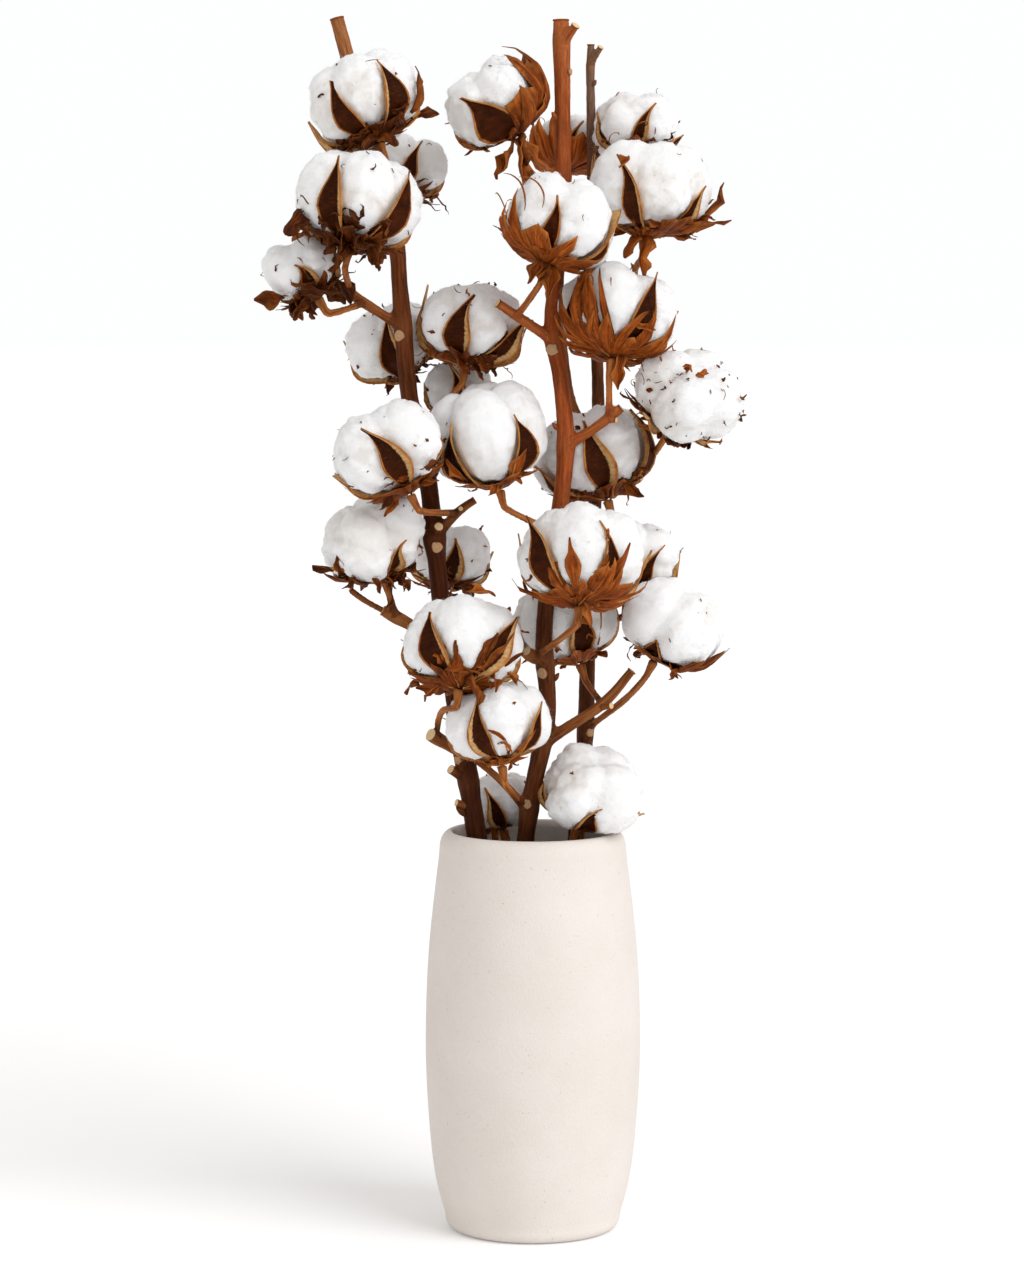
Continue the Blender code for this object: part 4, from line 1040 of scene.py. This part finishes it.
def bark_material(name, low, middle, top, heights):
    """Streaked bark; low, middle and top are pairs of colours, heights where they turn over."""
    n = Nodes(name)
    grain = n.grain()
    node, peduncle = n.tone()[:2]
    height = n.add('ShaderNodeSeparateXYZ', Vector=n.place()).outputs["Z"]
    streak = n.noise(n.mapped(grain, (0.04, 0.5, 0.5)), 1.0, 5.0, 0.62, 0.4)
    fine = n.noise(n.mapped(grain, (0.5, 2.6, 2.6)), 1.0, 4.0, 0.6)
    patch = n.noise(n.mapped(grain, (0.035, 0.13, 0.13)), 1.0, 4.0, 0.6)
    fleck = n.noise(n.mapped(grain, (0.9, 1.7, 1.7), (5, 3, 1)), 1.0, 3.0, 0.7)
    share = n.mask(streak, 0.32, 0.68)
    colour = n.mix(share, *low)
    wavy = n.plus(height, n.times(patch, 0.08))
    for pair, (start, end) in ((middle, heights[:2]), (top, heights[2:])):
        high = n.add('ShaderNodeMapRange', Value=wavy, From_Min=start + 0.04, From_Max=end + 0.04)
        colour = n.mix(high.outputs["Result"], colour, n.mix(share, *pair))
    deep = tuple(c * 0.5 for c in low[0])
    colour = n.mix(n.times(n.mask(patch, 0.48, 0.7), 0.5), colour, deep)
    colour = n.mix(n.mask(fine, 0.35, 0.6, 0.3, 0), colour, deep)
    colour = n.mix(n.times(peduncle, 0.75), colour,
                   n.mix(share, (0.23, 0.050, 0.0095), (0.56, 0.22, 0.062)))
    colour = n.mix(n.mask(fleck, 0.68, 0.74, 0, 0.5), colour, (0.50, 0.22, 0.08))
    colour = n.mix(n.times(node, 0.35), colour, (0.33, 0.12, 0.04))
    normal = n.bump(streak, 0.5, 0.0009)
    normal = n.bump(fine, 0.4, 0.0004, normal)
    return n.finish(colour, n.plus(n.times(fine, 0.3), 0.38), normal, Specular_IOR_Level=0.05)


def cut_wood_material():
    """The cream face of a cut stalk: rings round its pith, with fine cracks outwards."""
    n = Nodes("cut_wood")
    grain = n.grain()
    rings = n.add('ShaderNodeTexWave', wave_type='RINGS', rings_direction='Z', Vector=grain,
                  Scale=0.5, Distortion=1.6, Detail=3.0, Detail_Scale=2.0).outputs["Fac"]
    fibre = n.noise(grain, 3.5, 4.0, 0.65)
    wood = n.mix(rings, (0.66, 0.43, 0.20), (0.88, 0.72, 0.47))
    wood = n.mix(n.mask(fibre, 0.36, 0.55, 0.7, 0), wood, (0.48, 0.27, 0.11))
    wood = n.mix(n.tone()[1], wood, (0.22, 0.06, 0.015))
    return n.finish(wood, 0.8, n.bump(fibre, 0.4, 0.0004), Specular_IOR_Level=0.2)


def stoneware_material():
    """Matt cream clay with fine grit and uneven pits, in drifting bands."""
    n = Nodes("cream_stoneware")
    place = n.place()
    cloud = n.noise(place, 16.0, 4.0, 0.6)
    grit = n.noise(place, 1100.0, 4.0, 0.6)
    worm = n.noise(n.mapped(place, (1, 1, 0.8)), 420.0, 3.0, 0.55, 1.5)
    band = n.noise(n.mapped(place, (1, 1, 2)), 14.0, 3.0, 0.5)
    wobble = n.add('ShaderNodeVectorMath', operation='MULTIPLY_ADD')
    n.feed(wobble.inputs[0], n.add('ShaderNodeTexNoise', Vector=place, Scale=900.0).outputs["Color"])
    n.feed(wobble.inputs[1], (0.0016, 0.0016, 0.0016))
    n.feed(wobble.inputs[2], n.mapped(place, (1, 1, 0.75)))
    pits = []
    for scale, share, radius in ((520.0, 1.17, 0.20), (230.0, 1.21, 0.13)):
        cells = n.add('ShaderNodeTexVoronoi', Vector=wobble.outputs[0], Scale=scale)
        chosen = n.maths('GREATER_THAN', n.split(cells.outputs["Color"])[0],
                         n.minus(share, n.times(band, 0.45)))
        pits.append(n.times(chosen, n.maths('LESS_THAN', cells.outputs["Distance"], radius)))
    pit = n.maths('MAXIMUM', *pits)
    body = n.ramp(cloud, (0.3, (0.70, 0.640, 0.592)), (0.7, (0.755, 0.70, 0.655)))
    colour = n.mix(n.times(grit, 0.16), body, (0.54, 0.475, 0.41))
    colour = n.mix(n.times(pit, 0.32), colour, (0.38, 0.28, 0.20))
    normal = n.bump(n.minus(n.times(grit, 0.4), pit), 0.5, 0.0007)
    normal = n.bump(n.mask(worm, 0.42, 0.62), 0.22, 0.0005, normal)
    return n.finish(colour, n.plus(n.times(grit, 0.15), 0.60), normal, Specular_IOR_Level=0.35)


COTTON = cotton_material()
CARPEL = carpel_material()
BRACT = bract_material()
BARKS = {name: bark_material(name, *colours) for name, colours in {
    "bark_dark": (((0.0312, 0.00702, 0.00234), (0.0897, 0.0218, 0.00624)),
                  ((0.0663, 0.0156, 0.00468), (0.203, 0.0546, 0.0148)),
                  ((0.203, 0.0585, 0.0156), (0.484, 0.195, 0.0702)), (0.44, 0.56, 0.66, 0.73)),
    "bark_red": (((0.0495, 0.0126, 0.0045), (0.171, 0.0495, 0.0144)),
                 ((0.22, 0.041, 0.0088), (0.44, 0.105, 0.026)),
                 ((0.28, 0.064, 0.0155), (0.52, 0.15, 0.043)), (0.40, 0.47, 0.64, 0.74)),
    "bark_grey": (((0.0382, 0.0102, 0.0034), (0.136, 0.0408, 0.0136)),
                  ((0.085, 0.0255, 0.0085), (0.204, 0.068, 0.0238)),
                  ((0.128, 0.068, 0.0408), (0.272, 0.162, 0.106)), (0.44, 0.56, 0.64, 0.69)),
}.items()}
CUT_WOOD = cut_wood_material()
STONEWARE = stoneware_material()


# ---- stalks -------------------------------------------------------------------------------------
def smooth_route(points, steps):
    """A Catmull-Rom curve through the points, with the given steps for each stretch."""
    ends = [points[0]] + list(points) + [points[-1]]
    route = []
    for a, b, c, d in zip(ends, ends[1:], ends[2:], ends[3:]):
        for step in range(steps):
            t = step / steps
            route.append(tuple(
                0.5 * (2 * q + (r - p) * t + (2 * p - 5 * q + 4 * r - s) * t * t
                       + (3 * q - p - 3 * r + s) * t ** 3)
                for p, q, r, s in zip(a, b, c, d)))
    route.append(tuple(points[-1]))
    return route


def point_at_height(route, height):
    """The point and radius of a rising route at a height."""
    for low, high in zip(route, route[1:]):
        if low[2] <= height <= high[2]:
            share = (height - low[2]) / (high[2] - low[2])
            return tuple(a + (b - a) * share for a, b in zip(low, high))
    raise ValueError(f"no point at height {height}")


def frames_along(route):
    """Unit tangents with two steady cross directions for each point of a route."""
    places = route[:, :3]
    tangents = unit(np.gradient(places, axis=0))
    side = unit(np.cross(tangents[0], [0.3, 1.0, 0.2]))
    sides = []
    for tangent in tangents:
        side = unit(side - tangent * side.dot(tangent))
        sides.append(side)
    sides = np.array(sides)
    return tangents, sides, np.cross(tangents, sides)


def add_tube(bm, route, sides=14):
    """A closed tube along a route of x, y, z and radius, with flat ends."""
    tangents, a, b = frames_along(route)
    turns = np.linspace(0, 2 * pi, sides, endpoint=False)
    rings = []
    for place, u, v in zip(route, a, b):
        ring = place[:3] + place[3] * (np.outer(np.cos(turns), u) + np.outer(np.sin(turns), v))
        rings.append([bm.verts.new(p) for p in ring])
    for low, high in zip(rings, rings[1:]):
        for i in range(sides):
            j = (i + 1) % sides
            bm.faces.new((low[i], low[j], high[j], high[i]))
    bm.faces.new(rings[0][::-1])
    bm.faces.new(rings[-1])


def stalk_routes(plan):
    """A stalk's tubes, as arrays of x, y, z and radius with whether their ends are cut, and its
    joints, as places with how much they swell."""
    stem = smooth_route(plan["stem"], STEM_STEPS)
    x, y, z, radius = stem[0]
    stem[0] = (x, y, z + 1.2, radius)
    routes = {"stem": stem}
    tubes = [(np.array(stem), True)]
    joints = []
    for branch, (parent, height, points, first, last) in plan["branches"].items():
        start = point_at_height(routes[parent], height)
        joints.append((start, 1.0))
        stops = [start[:3]] + points
        share = len(stops) - 1
        radii = [first + (last - first) * i / share for i in range(len(stops))]
        routes[branch] = smooth_route([(*s, r) for s, r in zip(stops, radii)], STEM_STEPS)
        tubes.append((np.array(routes[branch]), True))
    for number, (parent, height) in plan["bolls"].items():
        boll = BOLL_SET[number]
        start = point_at_height(routes[parent], height)
        joints.append((start, 0.7))
        end, begin = boll.base, np.array(start[:3])
        collar = min(COLLAR_LENGTH, COLLAR_SHARE * np.linalg.norm(end - begin))
        lead = end - boll.axis * collar
        stops = [begin, *map(np.array, DETOURS.get(number, [])), lead, end]
        route = smooth_route([(*s, BOLL_STEM_RADIUS) for s in stops], BOLL_STEM_STEPS)
        for i in range(BOLL_STEM_STEPS):
            share = (i + 1) / BOLL_STEM_STEPS
            grown = BOLL_STEM_RADIUS + (BOLL_STEM_COLLAR - BOLL_STEM_RADIUS) * share ** 1.5
            route[i - BOLL_STEM_STEPS] = (*(lead + (end - lead) * share), grown)
        tubes.append((np.array(route), False))
    return tubes, joints


def joined_tubes(name, tubes, joints):
    """One smooth skin over all the tubes of a stalk: its points, normals and quads."""
    bm = bmesh.new()
    for route, _ in tubes:
        places, radii = route[:, :3], route[:, 3]
        for joint, size in joints:
            near = np.linalg.norm(places - joint[:3], axis=1)
            radii = radii * (1 + 0.16 * size * np.exp(-(near / 7.0) ** 2))
        radii = np.maximum(radii, THINNEST) + 0.12 + 0.16 * lattice_noise(places, 14.0, 3)
        add_tube(bm, np.column_stack([places, radii]))
    rough = bpy.data.meshes.new(name + "_rough")
    bm.to_mesh(rough)
    bm.free()
    source = bpy.data.objects.new(name + "_rough", rough)
    bpy.context.scene.collection.objects.link(source)
    remesh = source.modifiers.new("remesh", 'REMESH')
    remesh.mode = 'VOXEL'
    remesh.voxel_size = VOXEL
    smooth = source.modifiers.new("smooth", 'SMOOTH')
    smooth.factor = 0.5
    smooth.iterations = 2
    graph = bpy.context.evaluated_depsgraph_get()
    mesh = bpy.data.meshes.new_from_object(source.evaluated_get(graph))
    count = len(mesh.vertices)
    points = np.empty(count * 3)
    normals = np.empty(count * 3)
    mesh.vertices.foreach_get("co", points)
    mesh.vertices.foreach_get("normal", normals)
    faces = np.array([tuple(f.vertices) if len(f.vertices) == 4 else (*f.vertices, f.vertices[-1])
                      for f in mesh.polygons])
    bpy.data.objects.remove(source)
    return points.reshape(-1, 3), normals.reshape(-1, 3), faces


def bark_grain(points, tubes):
    """For each point: the nearest tube's number, the run along it, and (run, across, across)."""
    samples, frames = [], []
    for number, (route, _) in enumerate(tubes):
        tangents, a, b = frames_along(route)
        steps = np.linalg.norm(np.diff(route[:, :3], axis=0), axis=1)
        runs = np.concatenate([[0], np.cumsum(steps)])
        for i in range(len(route)):
            samples.append(route[i])
            frames.append((tangents[i], a[i], b[i], runs[i], number))
    tree = KDTree(len(samples))
    for i, sample in enumerate(samples):
        tree.insert(sample[:3], i)
    tree.balance()
    grain = np.empty((len(points), 3))
    owner, reached = np.empty(len(points), int), np.empty(len(points))
    for i, point in enumerate(points):
        found = min(tree.find_n(point, 3),
                    key=lambda hit: hit[2] - samples[hit[1]][3])
        tangent, a, b, run, number = frames[found[1]]
        owner[i], reached[i] = number, run
        away = point - samples[found[1]][:3]
        grain[i] = (run + away.dot(tangent) + 137.0 * number, away.dot(a), away.dot(b))
    return owner, reached, grain


def make_stalk(name, plan):
    """A stalk's bark with its cut ends, knobs, leaf scars and buds."""
    tubes, joints = stalk_routes(plan)
    points, normals, faces = joined_tubes(name, tubes, joints)
    owner, reached, grain = bark_grain(points, tubes)
    cuts = [(number, route) for number, (route, is_cut) in enumerate(tubes) if is_cut]
    for _, route in cuts:
        way = unit(route[-1][:3] - route[-2][:3])
        away = points - route[-1][:3]
        high = away @ way
        wide = np.linalg.norm(away - np.outer(high, way), axis=1)
        ring = (np.abs(high) < 3) & (wide < route[-1][3] * 1.6)
        points[ring] -= np.outer(np.clip(high[ring] + 0.35, 0, 3), way)
    swollen = np.zeros(len(points))
    for joint, size in joints:
        near = np.linalg.norm(points - joint[:3], axis=1)
        swollen = np.maximum(swollen, size * np.exp(-(near / 6.0) ** 2))
    ridges = lattice_noise(grain * [0.06, 0.8, 0.8], 1.0, 5) * 0.10
    lumps = lattice_noise(points, 3.0, 8) * 0.08 + lattice_noise(points, 9.0, 9) * 0.10
    points = points + normals * (ridges + lumps)[:, None]
    # 0 on the main stem, 0.5 on a branch and 1 on a boll's own stem, past where each starts
    young = np.array([0.0] + [0.5 if is_cut else 1.0 for _, is_cut in tubes[1:]])[owner]
    parts = MeshParts()
    parts.add(points, [faces], grain, columns(swollen, young * smooth_step(6, 17, reached), 0, 0.5))
    parts.faces = [f if f[2] != f[3] else f[:3] for f in parts.faces]
    for number, route in cuts:
        add_cut(parts, route, number)
    named = dict(zip(["stem", *plan["branches"]], [route for _, route in cuts]))
    for number, (branch, *knob) in enumerate(plan["knobs"]):
        add_knob(parts, named[branch], *knob, 40 + number)
    for branch, *scar in plan["scars"]:
        add_scar(parts, named[branch], *scar)
    for branch, *bud in plan["buds"]:
        add_bud(parts, named[branch], *bud)
    parts.make(f"{name}_bark", [BARKS[plan["bark"]], CUT_WOOD], plan["bark"], name)


def ringed(centre, a, b, radii, heights, way, sides, wobble=0.0, seed=0):
    """Rings of points about a centre, at the given radii and heights along a direction."""
    turns = np.linspace(0, 2 * pi, sides, endpoint=False)
    uneven = 1 + wobble * lattice_noise(np.stack([np.cos(turns), np.sin(turns), turns * 0], 1),
                                        0.5, seed)
    around = np.outer(np.cos(turns) * uneven, a) + np.outer(np.sin(turns) * uneven, b)
    return np.array([centre + way * h + around * r for r, h in zip(radii, heights)])


def ring_faces(rows, sides):
    """Quads between rings of points, with a flat face at each end."""
    index = np.arange(rows * sides).reshape(rows, sides)
    after = np.roll(index, -1, 1)
    quads = np.stack([index[:-1], after[:-1], after[1:], index[1:]], -1).reshape(-1, 4)
    return [quads, index[:1, ::-1], index[-1:]]


def add_cut(parts, route, seed):
    """The clean cream face of a cut end: a thin ragged disc on the end of the bark."""
    sides = 28
    way = unit(route[-1][:3] - route[-2][:3])
    a = unit(np.cross(way, [0.2, 1.0, 0.3]))
    b = np.cross(way, a)
    radius = route[-1][3] + 0.05
    rings = ringed(route[-1][:3], a, b, [radius * 0.9, radius, radius, radius - 0.3, radius * 0.5],
                   [-1.1, -0.9, -0.05, 0.12, 0.12], way, sides, 0.05, seed)
    points = rings.reshape(-1, 3)
    away = points - route[-1][:3]
    grain = columns(away @ a, away @ b, away @ way + 9.0 * seed)
    edge = np.repeat([1.0, 1.0, 1.0, 0.0, 0.0], sides)
    parts.add(points, ring_faces(5, sides), grain, columns(0, edge, 0, 0), 1, True)


def on_bark(stem, height, view):
    """A place on a stem's skin, its outward direction and the stem's own direction there."""
    lines = stem[:, 2]
    spot = int(np.argmin(np.abs(lines - height)))
    spot = min(max(spot, 1), len(stem) - 2)
    along = unit(stem[spot + 1][:3] - stem[spot - 1][:3])
    share = (height - lines[spot]) / max(1e-6, abs(along[2])) * along[2]
    centre = stem[spot][:3] + along * share
    out = np.array([sin(radians(view)), -cos(radians(view)), 0.0])
    out = unit(out - along * out.dot(along))
    return centre + out * stem[spot][3], out, along


def add_knob(parts, stem, height, view, rise, length, radius, seed):
    """A short pruned stub that points out from the stem, with a cream cut face."""
    place, out, along = on_bark(stem, height, view)
    way = unit(out * cos(radians(rise)) + along * sin(radians(rise)))
    a = unit(np.cross(way, [0.2, 1.0, 0.3]))
    b = np.cross(way, a)
    radii = [radius * r for r in (1.35, 1.12, 1.0, 1.0)]
    steps = [-radius, 0.0, length * 0.5, length]
    points = ringed(place, a, b, radii, steps, way, 14, 0.08, seed).reshape(-1, 3)
    away = points - place
    grain = columns(away @ way + 60.0 * seed, away @ a, away @ b)
    parts.add(points, ring_faces(4, 14), grain, np.array([0.7, 0.4, 0.0, 0.5]))
    end = place + way * length
    add_cut(parts, np.array([[*(end - way), radius], [*end, radius]]), seed)


def add_scar(parts, stem, height, view, size):
    """A shield-shaped leaf scar: a low worn scale of pale wood, pointed below."""
    place, out, along = on_bark(stem, height, view)
    sides = 22
    across = np.cross(along, out)
    rings = ringed(place - out * 0.6, across * 0.85, along * 0.85,
                   [size, size * 0.95, size * 0.8, size * 0.5, size * 0.2],
                   [0, 1.6, 2.0, 1.9, 1.95], out, sides, 0.2, int(height))
    points = rings.reshape(-1, 3)
    away = points - place
    low = np.maximum(0, -(away @ along))
    points = points - np.outer(0.12 * low ** 2 / size, along)
    grain = columns(away @ along, away @ across, away @ out + height)
    dark = np.repeat([0.95, 0.7, 0.5, 0.6, 0.5], sides)
    parts.add(points, ring_faces(5, sides), grain, columns(0, dark, 0, 0), 1)


def add_bud(parts, stem, height, view, length):
    """A small dry bud that points up and out from the stem."""
    place, out, along = on_bark(stem, height, view)
    way = unit(out * 0.75 + along)
    a = unit(np.cross(way, out))
    b = np.cross(way, a)
    radii = [length * r for r in (0.16, 0.27, 0.33, 0.30, 0.20, 0.05)]
    steps = [length * h for h in (-0.25, 0.0, 0.25, 0.5, 0.8, 1.0)]
    points = ringed(place, a, b, radii, steps, way, 12, 0.15, int(height)).reshape(-1, 3)
    parts.add(points, ring_faces(6, 12), points, np.array([0.5, 0.0, 0.0, 0.5]))


# ---- vase ---------------------------------------------------------------------------------------
def arc(centre, radius, start, end, steps):
    """Points of a profile round a centre, between two angles."""
    angles = [radians(start + (end - start) * i / steps) for i in range(steps + 1)]
    return [(centre[0] + radius * cos(a), centre[1] + radius * sin(a)) for a in angles]


def make_vase():
    """The vase as one lathed shell, a little uneven, from the inside of its floor to its foot."""
    side = [(radius, height) for height, radius in smooth_route(VASE_SIDE, 8)
            if LOW_ROUND < height < SHOULDER]
    inner = [(r - VASE_WALL, z) for r, z in side if INNER_LOW < z < INNER_HIGH]
    floor_round = arc((inner[0][0] - 6, VASE_FLOOR + 6), 6, -90, -5, 6)
    crown = np.radians(np.linspace(180, 90, 7))
    lip = [(CROWN + 2.3 * cos(a), VASE_HEIGHT - 5 + 5 * sin(a)) for a in crown]
    high = VASE_HEIGHT - SHOULDER
    crown = np.radians(np.linspace(80, 0, 11))
    lip += [(CROWN + (side[-1][0] - 0.4 - CROWN) * cos(a), SHOULDER + high * sin(a)) for a in crown]
    foot = arc((side[0][0] - LOW_ROUND - 0.2, LOW_ROUND), LOW_ROUND, -2, -90, 8)
    floor = [(r, VASE_FLOOR) for r in np.linspace(0.01, floor_round[0][0] - 2, 8)]
    base = [(r, 0) for r in np.linspace(VASE_FOOT_RADIUS - 5, 0.01, 8)]
    profile = np.array(floor + floor_round + inner + lip + side[::-1] + foot + base)
    turns = np.linspace(0, 2 * pi, VASE_SIDES, endpoint=False)
    uneven = np.array([[lattice_noise(np.array([[cos(t) * 2, sin(t) * 2, z / 60]]), 1.0, 4)[0]
                        for t in turns] for r, z in profile[::8]])
    rows = np.arange(len(profile))
    uneven = np.stack([np.interp(rows, rows[::8], uneven[:, k]) for k in range(len(turns))], 1)
    radius = profile[:, :1] * (1 + 0.0035 * uneven)
    grid = np.stack([radius * np.cos(turns), radius * np.sin(turns),
                     np.repeat(profile[:, 1:], len(turns), 1)], -1)
    points = grid.reshape(-1, 3)
    faces = [face[:, ::-1] for face in ring_faces(*grid.shape[:2])]
    parts = MeshParts()
    parts.add(points, faces, points, np.array([0.5, 0, 0, 0.5]))
    parts.make("vase_stoneware", [STONEWARE], "stoneware", "vase")


# ---- stage --------------------------------------------------------------------------------------
FLOOR_GLOW = 0.095
AMBIENT = 0.75
KEY_TOWARDS = (-0.62, 0.55, -0.62)     # direction the key light travels in
KEY_STRENGTH = 1.72
KEY_SIZE = 42                          # and its angular size, degrees
EYE = (-0.013, -2.4, 0.583)            # the photo's viewpoint, metres
EYE_DOWN = 5.1
EYE_ANGLE = 18.7                       # height of the view, degrees
FRAME_HEIGHT = 36.0


def make_stage():
    """The floor, the studio light and the camera."""
    mesh = bpy.data.meshes.new("floor")
    mesh.from_pydata([(-40, -40, 0), (40, -40, 0), (40, 40, 0), (-40, 40, 0)], [], [(0, 1, 2, 3)])
    floor = bpy.data.objects.new("floor", mesh)
    bpy.context.scene.collection.objects.link(floor)
    floor.location.z = -0.0002
    n = Nodes("floor_paint")
    n.finish((0.90, 0.90, 0.905, 1), 0.9, Specular_IOR_Level=0.0, Emission_Strength=FLOOR_GLOW,
             Emission_Color=(1.0, 1.0, 1.0, 1))
    mesh.materials.append(n.material)

    scene = bpy.context.scene
    scene.view_settings.view_transform = 'Standard'
    world = bpy.data.worlds.new("studio")
    world.use_nodes = True
    tree = world.node_tree
    ambient = tree.nodes["Background"]
    ambient.inputs["Color"].default_value = (1.0, 0.98, 0.955, 1)
    ambient.inputs["Strength"].default_value = AMBIENT
    backdrop = tree.nodes.new('ShaderNodeBackground')
    backdrop.inputs["Color"].default_value = (0.99, 0.995, 1.0, 1)
    seen = tree.nodes.new('ShaderNodeLightPath')
    choice = tree.nodes.new('ShaderNodeMixShader')
    tree.links.new(seen.outputs["Is Camera Ray"], choice.inputs["Fac"])
    tree.links.new(ambient.outputs[0], choice.inputs[1])
    tree.links.new(backdrop.outputs[0], choice.inputs[2])
    tree.links.new(choice.outputs[0], tree.nodes["World Output"].inputs["Surface"])
    scene.world = world
    light = bpy.data.lights.new("key", 'SUN')
    light.energy = KEY_STRENGTH
    light.angle = radians(KEY_SIZE)
    light.color = (0.965, 0.985, 1.015)
    lamp = bpy.data.objects.new("key", light)
    scene.collection.objects.link(lamp)
    lamp.rotation_euler = Vector(KEY_TOWARDS).to_track_quat('-Z', 'Y').to_euler()

    camera = bpy.data.cameras.new("camera")
    camera.sensor_fit = 'VERTICAL'
    camera.sensor_height = FRAME_HEIGHT
    camera.lens = FRAME_HEIGHT / (2 * np.tan(radians(EYE_ANGLE) / 2))
    eye = bpy.data.objects.new("camera", camera)
    scene.collection.objects.link(eye)
    eye.location = EYE
    eye.rotation_euler = (radians(90 - EYE_DOWN), 0, 0)
    scene.camera = eye


BOLL_SET = {number: Boll(number, *shape) for number, shape in BOLLS.items()}
make_stage()
make_vase()
for stalk, plan in STALKS.items():
    make_stalk(stalk, plan)
for each in BOLL_SET.values():
    make_cotton(each)
    make_husk(each)
